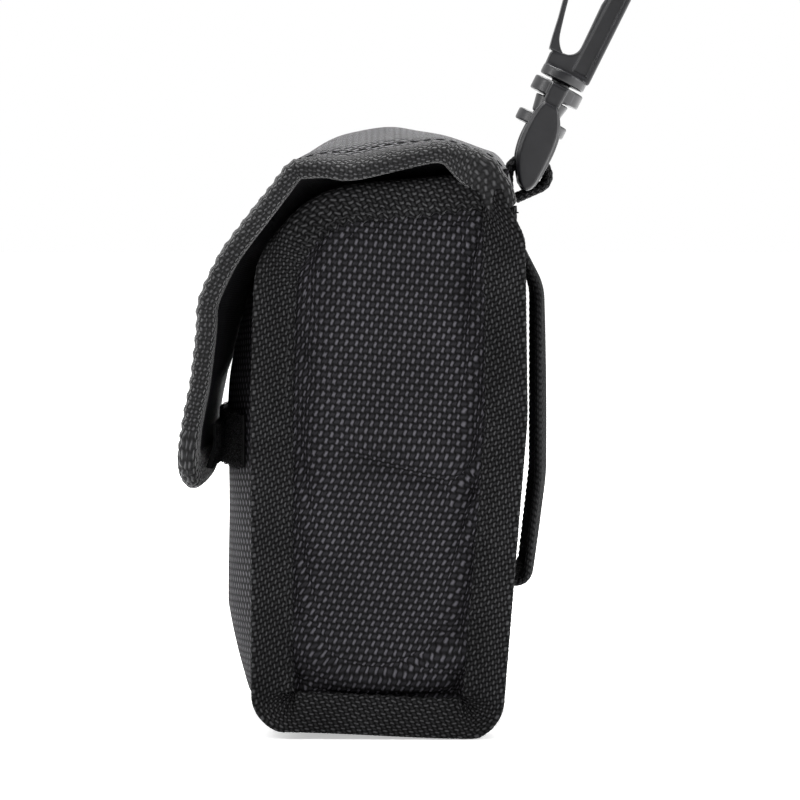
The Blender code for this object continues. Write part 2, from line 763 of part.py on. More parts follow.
def build_hook(frame):
    base = COLLAR_HIGH + 0.8
    top = base + FLANGE
    body = flat_plate("hook_body", hook_outline(), -HOOK_THICK / 2, HOOK_THICK / 2,
                      PLASTIC, frame)
    body.location = (0, AXIS_SHIFT * MM, top * MM)
    body = as_mesh(body)
    edge = body.modifiers.new("edge", "BEVEL")
    edge.width = 0.5 * MM
    edge.segments = 1
    edge.limit_method = "ANGLE"
    edge.angle_limit = radians(50)
    hook = turned("snap_hook", FLANGE_RADIUS, FLANGE_RADIUS, base, top, frame,
                  y=AXIS_SHIFT)
    stud = turned("hook_stud", STUD_RADIUS, STUD_RADIUS, DISC_HIGH + 1.2, base + 0.5,
                  frame, 24, AXIS_SHIFT)
    barb = turned("hook_barb", BARB_END, BARB_RADIUS, DISC_HIGH + GAP + 0.2,
                  COLLAR_LOW - GAP, frame, 24, AXIS_SHIFT)
    combine(hook, [stud, barb, body])
    return top


def build_gate(frame, top):
    columns, rows = 2, 10
    low = BASE_RISE + GAP
    high = HOOK_RISE - 2 * GAP

    def place(column, row):
        height = low + (high - low) * row / rows
        return ((column / columns - 0.5) * GATE_WIDTH, AXIS_SHIFT + gate_line(height),
                top + height)

    piece = add_piece("hook_gate", mapped_grid(columns, rows, place), PLASTIC, frame)
    wall = piece.modifiers.new("wall", "SOLIDIFY")
    wall.thickness = GATE * MM
    wall.offset = 0
    return piece


build_body()
build_belt_loop()
LOOP_CENTRE = build_hanging_loop()
build_flap_top()
build_flap_front()
build_closure()
BAR = add_frame("eye_frame", (0, LOOP_CENTRE.x - 0.5, LOOP_CENTRE.y - 0.3), TILT)
build_eye(BAR)
build_gate(BAR, build_hook(BAR))
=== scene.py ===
"""Cloth, tapes, webbing and moulded plastic of a padded carrying pouch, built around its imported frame.

Sizes are in millimetres, in the frame of the CAD model: +Z up, the flap and the
front face -Y, and X runs across the width.  Meshes are made in metres.
"""
from math import cos, pi, radians, sin, tau

import bmesh
import bpy
import numpy as np
from bpy.props import FloatProperty, FloatVectorProperty, IntProperty, PointerProperty
from mathutils import Matrix, Vector


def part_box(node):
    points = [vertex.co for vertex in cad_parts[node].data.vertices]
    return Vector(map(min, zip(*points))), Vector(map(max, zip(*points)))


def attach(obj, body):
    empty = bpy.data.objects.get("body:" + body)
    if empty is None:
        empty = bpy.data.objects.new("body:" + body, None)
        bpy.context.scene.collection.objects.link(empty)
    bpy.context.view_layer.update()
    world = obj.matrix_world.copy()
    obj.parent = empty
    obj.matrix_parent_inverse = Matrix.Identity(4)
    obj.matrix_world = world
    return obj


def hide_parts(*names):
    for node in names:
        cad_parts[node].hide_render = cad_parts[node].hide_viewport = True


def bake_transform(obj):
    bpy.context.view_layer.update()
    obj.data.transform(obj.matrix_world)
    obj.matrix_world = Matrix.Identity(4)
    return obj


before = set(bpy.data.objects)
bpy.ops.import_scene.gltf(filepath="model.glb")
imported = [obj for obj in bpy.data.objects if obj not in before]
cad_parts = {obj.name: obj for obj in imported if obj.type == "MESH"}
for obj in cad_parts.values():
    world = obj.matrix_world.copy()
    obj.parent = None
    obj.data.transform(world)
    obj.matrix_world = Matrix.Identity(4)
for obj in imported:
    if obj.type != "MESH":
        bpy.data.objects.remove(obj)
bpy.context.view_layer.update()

bl_info = {
    "name": "Padded Carrying Pouch",
    "version": (1, 0, 0),
    "blender": (4, 5, 0),
    "location": "3D View > Sidebar > Pouch",
    "description": "Builds the cloth, webbing and plastic of a padded pouch around its frame",
    "category": "Add Mesh",
}

MM = 0.001
SIDES = ((-1, "left"), (1, "right"))


def box(node):
    """A node's lowest and highest corners in millimetres."""
    return tuple(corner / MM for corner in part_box(node))


# Sizes taken from the frame, and the few that a box doesn't hold

PANEL = box("side_panel_right")[1].x            # outside of the side panels
SHELL = PANEL - box("side_panel_right")[0].x
STRIP_HALF = box("outer_strip")[1].x            # half width of the wrap-round strip
LINING_FACE = box("side_lining_right")[0].x     # inside of the side walls
HALF = box("flap_front_tape")[1].x              # half width of the flap
MOUTH_FRONT = 118.7                             # mouth height at the front
MOUTH_BACK = 123.5                              # and at the back
FRONT, BACK = -27.0, 27.0
SEAM_Z = 126.4                                  # where the flap starts on the back panel
FLOOR_LIFT = 2.6                                # the bottom seam's height
WALL = 5.6                                      # shell, foam and lining
FLAP_WALL = 3.7
FLAP_EDGE = 4.2
FLAP_BORDER = 9.7
FLAP_CORNER = 14.0
STANDOFF = 17.79                                # the flap's outside from the front panel
FLAP_DROP = 72.8
CLOSURE_HALF = box("hook_tape")[1].x
BELT_HALF = box("belt_loop")[1].x
HANG_HALF = box("hanging_tab")[1].x
EYE_BAR = (31.8, 123.9)
TILT = 26.5                                     # degrees the hook leans back
HINGE_BEND = ((0, 0.0268, 0.1265), (0, 0.0185, 0.1275))    # where the cloth starts and ends bending, metres
FOLD_BEND = ((0, -0.0215, 0.1262), (0, -0.0292, 0.1170))


class PouchCloth(bpy.types.PropertyGroup):
    """Threads and colours of the woven parts."""

    warp: FloatProperty(name="Warp pitch", description="Spacing of the panel's upright threads, in mm",
                        default=1.065, min=0.2, max=5.0)
    weft: FloatProperty(name="Weft pitch", description="Spacing of the panel's level threads, in mm",
                        default=1.465, min=0.2, max=5.0)
    tape_pitch: FloatProperty(name="Tape pitch", description="Spacing of the edge tape's threads, in mm",
                              default=0.82, min=0.2, max=5.0)
    nylon: FloatVectorProperty(name="Nylon", description="Colour of the panels", subtype="COLOR",
                               default=(0.0108, 0.0104, 0.0120), min=0.0, max=1.0)
    tape: FloatVectorProperty(name="Tape", description="Colour of the edge tapes", subtype="COLOR",
                              default=(0.0110, 0.0110, 0.0115), min=0.0, max=1.0)
    lining: FloatVectorProperty(name="Lining", description="Colour of the lining", subtype="COLOR",
                                default=(0.010, 0.010, 0.011), min=0.0, max=1.0)
    seed: IntProperty(name="Seed", description="Seed of everything random", default=7, min=0)


class PouchPadding(bpy.types.PropertyGroup):
    """How the filled walls swell, sag and crease."""

    side_puff: FloatProperty(name="Side swell", description="How far a side wall swells, in mm",
                             default=2.3, min=0.0, max=8.0)
    front_bulge: FloatProperty(name="Front swell", description="How far the front wall swells, in mm",
                               default=10.4, min=0.0, max=20.0)
    back_bulge: FloatProperty(name="Back swell", description="How far the back wall swells, in mm",
                              default=1.0, min=0.0, max=8.0)
    sew_slack: FloatProperty(name="Slack", description="Share of extra cloth sewn into a side wall",
                             default=0.012, min=0.0, max=0.2)


class PouchHardware(bpy.types.PropertyGroup):
    """Sizes and colour of the moulded eye and snap hook."""

    plastic: FloatVectorProperty(name="Plastic", description="Colour of the mouldings", subtype="COLOR",
                                 default=(0.008, 0.008, 0.0095), min=0.0, max=1.0)
    edge: FloatProperty(name="Edge radius", description="Radius of the moulded edges, in mm",
                        default=0.45, min=0.05, max=2.0)
    voxel: FloatProperty(name="Moulding grid", description="Grid that joins the moulded shapes, in mm",
                         default=0.17, min=0.1, max=1.0)


# Lines and surfaces

def resampled(points, step):
    """Points of the same line, spaced evenly about a step apart."""
    points = np.asarray(points, float)
    run = np.concatenate([[0.0], np.cumsum(np.linalg.norm(np.diff(points, axis=0), axis=1))])
    count = max(2, int(round(run[-1] / step)) + 1)
    places = np.linspace(0.0, run[-1], count)
    return np.stack([np.interp(places, run, points[:, k]) for k in range(points.shape[1])], axis=1)


def softened(points, passes):
    """The line with its small corners smoothed, its ends kept."""
    points = points.copy()
    for _ in range(passes):
        points[1:-1] = 0.5 * points[1:-1] + 0.25 * (points[:-2] + points[2:])
    return points


def rounded(corners, step=1.0):
    """A line in the YZ plane through corners (y, z, radius), round at each of them."""
    points = [Vector(corners[0][:2])]
    for before, corner, after in zip(corners, corners[1:], corners[2:]):
        here = Vector(corner[:2])
        back = (Vector(before[:2]) - here).normalized()
        ahead = (Vector(after[:2]) - here).normalized()
        half = back.angle(ahead) / 2
        centre = here + (back + ahead).normalized() * (corner[2] / sin(half))
        start = here + back * (corner[2] * cos(half) / sin(half))
        turn = pi - 2 * half
        if back.cross(ahead) > 0:
            turn = -turn
        for piece in range(25):
            swing = Matrix.Rotation(turn * piece / 24, 2)
            points.append(centre + swing @ (start - centre))
    points.append(Vector(corners[-1][:2]))
    return resampled([tuple(point) for point in points], step)


def smooth_line(points, step):
    """A Catmull-Rom line through a few chosen points."""
    points = np.asarray(points, float)
    padded = np.concatenate([[2 * points[0] - points[1]], points, [2 * points[-1] - points[-2]]])
    line = []
    for a, b, c, d in zip(padded, padded[1:], padded[2:], padded[3:]):
        for t in np.linspace(0, 1, 12, endpoint=False):
            line.append(0.5 * (2 * b + (c - a) * t + (2 * a - 5 * b + 4 * c - d) * t ** 2
                               + (3 * b - a - 3 * c + d) * t ** 3))
    line.append(points[-1])
    return resampled(line, step)


def outward(path):
    """Outward normals of a line that goes down the back and up the front."""
    along = np.gradient(path, axis=0)
    along /= np.linalg.norm(along, axis=1)[:, None]
    return np.stack([-along[:, 1], along[:, 0]], axis=1)


def smoothstep(low, high, value):
    share = np.clip((value - low) / (high - low), 0, 1)
    return share * share * (3 - 2 * share)


def bump_at(value, centre, width):
    """A soft hump of height 1."""
    return np.exp(-((value - centre) / width) ** 2)


def ripple(a, b, seed):
    """Slow cloth waviness between -1 and 1, the same in each run."""
    total = 0.0
    rng = np.random.default_rng(seed)
    for _ in range(6):
        ka, kb = rng.uniform(-1, 1, 2) * 0.42
        total = total + np.sin(a * ka + b * kb + rng.uniform(0, tau))
    return total / 6


def weave_relief(u, v, pitch_u, pitch_v):
    """Height 0..1 of a plain weave at cloth places u, v."""
    across, along = np.sin(pi * u / pitch_u), np.sin(pi * v / pitch_v)
    over = 0.5 + 0.5 * np.clip(across * along * 2.5, -1, 1)
    warp = np.abs(across) ** 1.3 * (0.3 + 0.7 * over)
    weft = np.abs(along) ** 1.3 * (0.3 + 0.7 * (1 - over))
    return np.maximum(warp, weft)


def cloth_lengths(grid):
    """Distances along a grid's columns and rows, which its weave follows."""
    mid_row, mid_column = grid.shape[0] // 2, grid.shape[1] // 2
    u = np.concatenate([[0], np.cumsum(np.linalg.norm(np.diff(grid[mid_row], axis=0), axis=1))])
    v = np.concatenate([[0], np.cumsum(np.linalg.norm(np.diff(grid[:, mid_column], axis=0), axis=1))])
    return np.broadcast_to(u, grid.shape[:2]), np.broadcast_to(v[:, None], grid.shape[:2])


def grid_normals(grid, flip=False):
    normal = np.cross(np.gradient(grid, axis=1), np.gradient(grid, axis=0))
    normal /= np.maximum(np.linalg.norm(normal, axis=2), 1e-9)[..., None]
    return -normal if flip else normal


# Meshes

def link(name, mesh, material=None):
    piece = bpy.data.objects.new(name, mesh)
    bpy.context.scene.collection.objects.link(piece)
    if material:
        mesh.materials.clear()
        mesh.materials.append(material)
    return piece


def shade(mesh, angle=50):
    mesh.shade_smooth()
    mesh.set_sharp_from_angle(angle=radians(angle))


def swept(name, loops, u, v, material):
    """A closed piece: every row of loops is one closed section, and both ends are shut."""
    rows, columns = loops.shape[:2]
    faces, uvs = [], []
    for r in range(rows - 1):
        for c in range(columns):
            d = (c + 1) % columns
            faces.append((r * columns + c, r * columns + d, (r + 1) * columns + d, (r + 1) * columns + c))
            uvs += [(u[r, c], v[r, c]), (u[r, c + 1], v[r, c]),
                    (u[r + 1, c + 1], v[r + 1, c]), (u[r + 1, c], v[r + 1, c])]
    for r in (0, rows - 1):
        for c in range(columns // 2 - 1):
            ring = (c, c + 1, columns - 2 - c, columns - 1 - c)
            ring = ring if r == 0 else ring[::-1]
            faces.append(tuple(r * columns + k for k in ring))
            uvs += [(u[r, k], v[r, k] + (3 if k > columns / 2 else 0)) for k in ring]
    mesh = bpy.data.meshes.new(name)
    mesh.from_pydata((loops.reshape(-1, 3) * MM).tolist(), [], faces)
    layer = mesh.uv_layers.new(name="cloth")
    layer.data.foreach_set("uv", np.asarray(uvs, np.float32).ravel())
    bm = bmesh.new()
    bm.from_mesh(mesh)
    bmesh.ops.recalc_face_normals(bm, faces=bm.faces)
    bm.to_mesh(mesh)
    bm.free()
    shade(mesh)
    return link(name, mesh, material)


def slab(name, grid, thickness, material, flip=False, inner=None, soft_ends=True, flat=None):
    """Cloth of a thickness whose outer face is the grid, with soft rims."""
    normal = grid_normals(grid, flip)
    far = grid - normal * thickness if inner is None else inner
    near, mid = grid.copy(), (grid + far) / 2
    rim = thickness * 0.35
    for edge, inside in ((0, 1), (-1, -2)):
        pull = near[:, inside] - near[:, edge]
        pull /= np.maximum(np.linalg.norm(pull, axis=1), 1e-9)[:, None]
        for face in (near, far):
            face[:, edge] += pull * np.minimum(rim, 0.4)
    for edge, inside in ((0, 1), (-1, -2)) if soft_ends else ():
        pull = near[inside] - near[edge]
        pull /= np.maximum(np.linalg.norm(pull, axis=1), 1e-9)[:, None]
        near[edge] += pull * 0.2
        far[edge] += pull * 0.2
    loops = np.concatenate([near, mid[:, -1:], far[:, ::-1], mid[:, :1]], axis=1)
    u, v = cloth_lengths(grid) if flat is None else flat
    end = u[:, -1:]
    u = np.concatenate([u, end + thickness / 2, end + thickness + (end - u[:, ::-1]),
                        2 * end + 1.5 * thickness, 2 * end + 2 * thickness], axis=1)
    v = np.concatenate([v, v[:, -1:], v[:, ::-1], v[:, :1], v[:, :1]], axis=1)
    return swept(name, loops, u, v, material)


def tube(name, loops, material, relief=0.0, pitch=1.0, stretch=1.0):
    """A closed strip of tape from its sections, with the threads raised on its surface."""
    closed = np.concatenate([loops, loops[:, :1]], axis=1)
    u, v = cloth_lengths(closed)
    if relief:
        wrapped = np.concatenate([loops[:, -1:], loops, loops[:, :1]], axis=1)
        normal = grid_normals(wrapped)[:, 1:-1]
        centre = loops.mean(axis=1, keepdims=True)
        if ((loops - centre) * normal).sum() < 0:
            normal = -normal
        height = weave_relief(u[:, :-1], v[:, :-1], pitch, pitch * stretch) - 0.5
        loops = loops + normal * (height * relief)[..., None]
    return swept(name, loops, u, v, material)


def evaluated(piece, name, material):
    """The piece as its modifiers leave it, as a plain mesh in a new object."""
    bpy.context.view_layer.update()
    graph = bpy.context.evaluated_depsgraph_get()
    mesh = bpy.data.meshes.new_from_object(piece.evaluated_get(graph))
    mesh.transform(piece.matrix_world)
    bpy.data.objects.remove(piece, do_unlink=True)
    mesh.name = name
    return link(name, mesh, material)


def settle(piece, body, slot, *nodes):
    """Ride on a body and stand for CAD nodes; the slot argument is not used."""
    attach(piece, body)
    if nodes:
        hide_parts(*nodes)
    return piece


# Materials

class Finish:
    """A Principled material and the short steps that build its pattern."""

    def __init__(self, name, colour, roughness, sheen=0.0, sheen_roughness=0.22, specular=0.3):
        self.material = bpy.data.materials.new(name)
        self.material.use_nodes = True
        self.tree = self.material.node_tree
        self.shader = self.tree.nodes["Principled BSDF"]
        self.colour = (*colour, 1.0)
        self.shader.inputs["Base Color"].default_value = self.colour
        self.shader.inputs["Roughness"].default_value = roughness
        self.shader.inputs["Sheen Weight"].default_value = sheen
        self.shader.inputs["Sheen Roughness"].default_value = sheen_roughness
        self.shader.inputs["Specular IOR Level"].default_value = specular

    def node(self, kind, **settings):
        node = self.tree.nodes.new(kind)
        for key, value in settings.items():
            setattr(node, key, value)
        return node

    def put(self, socket, value):
        if isinstance(value, bpy.types.NodeSocket):
            self.tree.links.new(value, socket)
        else:
            socket.default_value = value

    def math(self, operation, a, b=0.0, clamp=False):
        node = self.node("ShaderNodeMath", operation=operation, use_clamp=clamp)
        self.put(node.inputs[0], a)
        self.put(node.inputs[1], b)
        return node.outputs[0]

    def cloth(self, lean=0.0):
        """The piece's own cloth map in millimetres, turned by a lean in degrees."""
        place = self.node("ShaderNodeUVMap", uv_map="cloth")
        turned = self.node("ShaderNodeMapping")
        turned.inputs["Rotation"].default_value = (0, 0, radians(lean))
        self.put(turned.inputs["Vector"], place.outputs[0])
        parts = self.node("ShaderNodeSeparateXYZ")
        self.put(parts.inputs[0], turned.outputs[0])
        return turned.outputs[0], parts.outputs[0], parts.outputs[1]

    def place(self):
        return self.node("ShaderNodeTexCoord").outputs["Object"]

    def noise(self, vector, scale, detail=3.0, rough=0.55):
        node = self.node("ShaderNodeTexNoise")
        self.put(node.inputs["Vector"], vector)
        node.inputs["Scale"].default_value = scale
        node.inputs["Detail"].default_value = detail
        node.inputs["Roughness"].default_value = rough
        return node.outputs["Fac"]

    def mix(self, factor, low, high):
        node = self.node("ShaderNodeMix", data_type="RGBA")
        self.put(node.inputs[0], factor)
        self.put(node.inputs[6], low)
        self.put(node.inputs[7], high)
        return node.outputs[2]

    def ranged(self, value, low, high):
        node = self.node("ShaderNodeMapRange")
        self.put(node.inputs[0], value)
        node.inputs[3].default_value = low
        node.inputs[4].default_value = high
        return node.outputs[0]

    def bump(self, height, distance, strength=1.0, under=None):
        node = self.node("ShaderNodeBump")
        node.inputs["Strength"].default_value = strength
        node.inputs["Distance"].default_value = distance
        self.put(node.inputs["Height"], height)
        if under is not None:
            self.put(node.inputs["Normal"], under)
        return node.outputs[0]

    def finish(self, colour=None, roughness=None, normal=None):
        for socket, value in (("Base Color", colour), ("Roughness", roughness), ("Normal", normal)):
            if value is not None:
                self.put(self.shader.inputs[socket], value)
        return self.material


def scaled(colour, factor):
    return (*(min(1.0, part * factor) for part in colour), 1.0)


def woven(name, colour, pitch_u, pitch_v, depth=0.00030, painted_crest_highlight=6.5, lean=0.0, skew=0.0,
          roughness=(0.8, 0.45), sheen=0.0, painted_pit_shade=0.06, narrow=1.4, wear=0.5, specular=0.1):
    """Plain-woven cloth: warp floats with a painted highlight on their crowns, weft between them, and
    painted shade in the pits.
    """
    f = Finish(name, colour, 0.6, sheen=sheen, specular=specular)
    vector, u, v = f.cloth(lean)
    if skew:
        v = f.math("ADD", v, f.math("MULTIPLY", u, skew))
    u = f.math("ADD", u, f.math("MULTIPLY", f.noise(vector, 0.35, 2.0), 0.5))
    v = f.math("ADD", v, f.math("MULTIPLY", f.noise(vector, 0.9, 2.0), 0.35))
    slant = f.math("MULTIPLY", f.math("SINE", f.math("MULTIPLY", v, tau / pitch_v)), -0.09 * pitch_u)
    across = f.math("SINE", f.math("MULTIPLY", f.math("ADD", u, slant), pi / pitch_u))
    along = f.math("SINE", f.math("MULTIPLY", v, pi / pitch_v))
    cell = f.math("MULTIPLY", f.math("MULTIPLY", across, along), 1.8)
    over = f.math("ADD", f.math("MULTIPLY", f.math("MINIMUM", f.math("MAXIMUM", cell, -1.0), 1.0), 0.5), 0.5)
    under = f.math("SUBTRACT", 1.0, over)
    warp = f.math("MULTIPLY", f.math("POWER", f.math("ABSOLUTE", across), narrow), over)
    weft = f.math("MULTIPLY", f.math("POWER", f.math("ABSOLUTE", along), 1.2), under)
    fibre = f.noise(vector, 7.0, 4.0, 0.75)
    height = f.math("ADD", f.math("MAXIMUM", warp, f.math("MULTIPLY", weft, 0.7)),
                    f.math("MULTIPLY", fibre, 0.25))
    uneven = f.ranged(f.noise(f.place(), 75.0, 4.0), 1.0 - wear, 1.0 + wear)
    grain = f.math("MULTIPLY", uneven, f.ranged(fibre, 0.35, 1.65))
    # Painted highlight: the warp crowns are painted several times lighter than the cloth.
    crown = f.math("MULTIPLY", f.math("POWER", warp, 1.8), f.math("POWER", f.math("ABSOLUTE", along), 0.9))
    light = f.math("MULTIPLY", crown, grain, clamp=True)
    body = f.math("MULTIPLY", f.math("POWER", f.math("MAXIMUM", warp, weft), 1.5), grain, clamp=True)
    # Painted shade in the pits between threads, and painted light on the thread bodies.
    pit_shaded_ground = f.mix(body, scaled(colour, painted_pit_shade), scaled(colour, 1.35))
    tint = f.mix(light, pit_shaded_ground, scaled(colour, painted_crest_highlight))
    return f.finish(tint, f.ranged(light, *roughness), f.bump(height, depth))


def ribbed_webbing(name, colour):
    """Belt webbing: plaited rows in a shallow chevron."""
    f = Finish(name, colour, 0.75, specular=0.05)
    vector, u, v = f.cloth()
    fold = f.math("PINGPONG", f.math("ADD", u, 60.0), 3.0)
    step = f.math("ADD", v, f.math("MULTIPLY", fold, 0.6))
    rib = f.math("ABSOLUTE", f.math("SINE", f.math("MULTIPLY", step, pi / 1.5)))
    thread = f.math("ABSOLUTE", f.math("SINE", f.math("MULTIPLY", u, pi / 0.75)))
    fibre = f.noise(vector, 8.0, 4.0, 0.7)
    height = f.math("ADD", f.math("MULTIPLY", f.math("POWER", rib, 0.7), f.math("ADD", thread, 0.6)),
                    f.math("MULTIPLY", fibre, 0.3))
    # Painted highlight on the rib crowns and painted shade in the grooves between them.
    light = f.math("MULTIPLY", f.math("MULTIPLY", rib, thread), f.ranged(fibre, 0.5, 1.5), clamp=True)
    tint = f.mix(light, scaled(colour, 0.25), scaled(colour, 2.2))
    return f.finish(tint, f.ranged(light, 0.85, 0.6), f.bump(height, 0.0003))


def soft_lining(name, colour):
    """Thin plain lining with a fine thread and soft creases."""
    f = Finish(name, colour, 0.8, specular=0.06)
    vector, u, v = f.cloth()
    across = f.math("ABSOLUTE", f.math("SINE", f.math("MULTIPLY", u, pi / 0.45)))
    along = f.math("ABSOLUTE", f.math("SINE", f.math("MULTIPLY", v, pi / 0.45)))
    fine = f.math("MAXIMUM", across, along)
    creases = f.noise(vector, 0.12, 4.0, 0.6)
    normal = f.bump(creases, 0.0012, 0.6)
    # Painted shade in the crease hollows and painted light on the crease tops, following the crease bump.
    tint = f.mix(f.ranged(creases, 0.1, 0.9), scaled(colour, 0.7), scaled(colour, 1.8))
    return f.finish(tint, f.ranged(fine, 0.8, 0.6), f.bump(fine, 0.00008, 1.0, normal))


def moulded(name, colour):
    """Satin moulded plastic: a fine spark-eroded grain, and a painted highlight on its edges."""
    f = Finish(name, colour, 0.35, specular=0.55)
    place = f.place()
    grain = f.noise(place, 5200.0, 3.0, 0.6)
    cloud = f.noise(place, 210.0, 4.0)
    # Painted highlight: sharp convex edges are painted up to five times lighter, broken up by the cloud.
    edge_pointiness = f.node("ShaderNodeNewGeometry").outputs["Pointiness"]
    painted_edge_highlight = f.math("MULTIPLY", f.math("SUBTRACT", edge_pointiness, 0.52), 9.0, clamp=True)
    painted_edge_highlight = f.math("MULTIPLY", painted_edge_highlight, f.ranged(cloud, 0.3, 1.2), clamp=True)
    tint = f.mix(painted_edge_highlight, f.mix(cloud, scaled(colour, 0.7), scaled(colour, 1.4)), scaled(colour, 5.0))
    rough = f.math("ADD", f.ranged(cloud, 0.24, 0.38), f.math("MULTIPLY", grain, 0.06))
    return f.finish(tint, rough, f.bump(grain, 0.00002, 0.5))


def fuzzy(name, colour):
    """The nylon of hook-and-loop tape."""
    f = Finish(name, colour, 0.75, sheen=0.04, specular=0.08)
    cloud = f.noise(f.place(), 900.0, 3.0)
    tint = f.mix(cloud, scaled(colour, 0.5), scaled(colour, 2.2))
    return f.finish(tint, f.ranged(cloud, 0.55, 0.8))


def make_finishes():
    cloth = bpy.context.scene.pouch_cloth
    hardware = bpy.context.scene.pouch_hardware
    return {
        "panel": woven("ballistic_nylon", cloth.nylon, cloth.warp, cloth.weft, painted_crest_highlight=7.5, lean=-4.5),
        "flap": woven("flap_nylon", cloth.nylon, cloth.warp, cloth.weft, painted_crest_highlight=8.0, sheen=0.5,
                      specular=0.2, painted_pit_shade=0.3),
        "roll": woven("flap_edge_nylon", cloth.tape, 0.86, 0.98, depth=0.00024, painted_crest_highlight=5.6,
                      sheen=0.3, wear=0.8, specular=0.15, painted_pit_shade=0.3),
        "tape": woven("binding_tape", cloth.tape, cloth.tape_pitch, 1.35 * cloth.tape_pitch,
                      depth=0.00026, painted_crest_highlight=4.2, lean=9, skew=0.22, roughness=(0.85, 0.55),
                      narrow=1.1, wear=0.95, specular=0.06, painted_pit_shade=0.03),
        "lining": soft_lining("lining_cloth", cloth.lining),
        "webbing": ribbed_webbing("woven_webbing", cloth.tape),
        # The hook-and-loop colour is halved: painted shade for the flap's shadow over the closure.
        "closure": fuzzy("hook_and_loop_nylon", scaled(cloth.tape, 0.5)[:3]),
        "thread": soft_lining("bonded_thread", scaled(cloth.tape, 1.4)[:3]),
        "plastic": moulded("moulded_plastic", hardware.plastic),
    }


# The pouch's outline

STRIP = rounded([
    (BACK - 0.4, SEAM_Z - 0.3, 0), (BACK + 0.5, 71.2, 60), (22.0, FLOOR_LIFT, 6.2),
    (FRONT, FLOOR_LIFT, 6.2), (FRONT, 77.2, 150), (FRONT + 1.4, MOUTH_FRONT, 22),
    (BACK, MOUTH_BACK, 0),
], 0.5)
STRIP_RUN = np.concatenate([[0], np.cumsum(np.linalg.norm(np.diff(STRIP, axis=0), axis=1))])
STRIP_OUT = outward(softened(STRIP, 4))
FRONT_END = int(np.argmax((STRIP[:, 0] > -22.3) & (STRIP[:, 1] > 100) & (STRIP_RUN > 150)))


def wall_bulge(y, z, across):
    """How far the filled pouch pushes the strip out; across runs -1..1."""
    padding = bpy.context.scene.pouch_padding
    pillow = 1 - across ** 2
    share = np.clip((z - FLOOR_LIFT) / (MOUTH_FRONT - FLOOR_LIFT), 0, 1)
    low = np.minimum(1.0, share / 0.2) ** 0.35
    high = np.maximum(0.0, 1 - (np.maximum(0.0, share - 0.57) / 0.37) ** 2)
    front = padding.front_bulge * pillow * low * high
    back = padding.back_bulge * pillow * np.sin(pi * share)
    bottom = FLOOR_LIFT * np.minimum(1.0, 1.6 * pillow)
    bulge = np.where(y > 0, back, front)
    floor_share = smoothstep(FLOOR_LIFT + 2.5, FLOOR_LIFT, z)
    return bulge * (1 - floor_share) + bottom * floor_share


def strip_grid(first, last, depth, half, columns, waves=0.0):
    """One layer of the wall that wraps the back, the bottom and the front."""
    rows = np.arange(first, last, 2)
    x = np.linspace(-half, half, columns)
    y, z = STRIP[rows, 0][:, None], STRIP[rows, 1][:, None]
    bulge = wall_bulge(y, z, x[None, :] / STRIP_HALF)
    if waves:
        inside = 1 - (x[None, :] / half) ** 6
        lively = smoothstep(4, 16, z) * smoothstep(122, 112, z)
        folds = ripple(x[None, :] * 0.55, STRIP_RUN[rows][:, None] * 0.5, 3)
        bulge = bulge + waves * folds * inside * lively
    out = bulge - depth
    grid = np.empty((len(rows), columns, 3))
    grid[..., 0] = x
    grid[..., 1] = y + STRIP_OUT[rows, 0][:, None] * out
    grid[..., 2] = np.maximum(z + STRIP_OUT[rows, 1][:, None] * out, 0.0 if depth < 1 else depth)
    return grid


def build_walls(finishes):
    shell = strip_grid(0, FRONT_END, 0.0, STRIP_HALF, 72, waves=0.35)
    wrap = slab("outer_wrap", shell, SHELL, finishes["panel"])
    settle(wrap, "pouch", "nylon", "outer_strip", "back_foam", "bottom_foam", "front_foam")
    inner = strip_grid(8, FRONT_END, WALL - 0.8, STRIP_HALF - 0.4, 56, waves=0.25)
    lining = slab("inner_lining", inner, 0.8, finishes["lining"])
    settle(lining, "pouch", "lining", "lining_strip")


# Side walls

def side_edges(inset, top_inset):
    """Functions that give the side wall's bottom, top, front and back lines."""
    arc = STRIP - STRIP_OUT * inset
    order = np.argsort(arc[:, 1], kind="stable")
    arc = arc[order]
    fronts, backs = arc[arc[:, 0] < -2], arc[arc[:, 0] > 2]

    def front(z):
        return np.interp(z, fronts[:, 1], fronts[:, 0])

    def back(z):
        backs_low = backs[backs[:, 1] < SEAM_Z - 4]
        return np.interp(z, backs_low[:, 1], backs_low[:, 0])

    def top(y):
        mouth = STRIP[(STRIP_RUN > 150) & (STRIP[:, 1] > 80)] - [0, top_inset]
        return np.interp(y, mouth[:, 0], mouth[:, 1])

    def bottom(y):
        run = STRIP[STRIP[:, 1] < 20]
        run = run[np.argsort(run[:, 0])]
        return np.interp(y, run[:, 0], run[:, 1]) + inset

    return front, back, top, bottom


def side_grid(inset, top_inset, columns, rows):
    """Flat rows of (y, z) that fill the side wall's outline."""
    front, back, top, bottom = side_edges(inset, top_inset)
    s = np.linspace(0, 1, columns)[None, :]
    t = np.linspace(0, 1, rows)[:, None]
    y_guess = FRONT + inset + (BACK - FRONT - 2 * inset) * s + 0 * t
    for _ in range(4):
        low, high = bottom(y_guess), top(y_guess)
        z = low + (high - low) * t
        y_low, y_high = front(z), back(z)
        y_guess = y_low + (y_high - y_low) * s
    return y_guess, z


def creases(y, z):
    """The side wall's slow folds: a slack fold at mid height and a deep one over the bottom."""
    line = 60.5 - 0.30 * (y - 2)
    fold = -1.5 * bump_at(z, line, 2.6) + 1.3 * bump_at(z, line + 6.0, 4.5)
    fold = fold * smoothstep(-16, 0, y) * smoothstep(32, 16, y)
    low_line = 9.5 + 0.006 * (y - 4) ** 2
    low = -2.6 * bump_at(z, low_line, 3.6) + 1.3 * bump_at(z, low_line + 9, 4.5)
    tuck = 15.5 - 0.22 * (y - 11)
    hollow = (-1.7 * bump_at(z, tuck, 1.9) + 0.9 * bump_at(z, tuck + 4.5, 2.6)) * bump_at(y, 12, 7)
    side = 0.8 * bump_at(y, -15 + 0.05 * z, 5) * smoothstep(30, 60, z)
    return fold + low + hollow + side


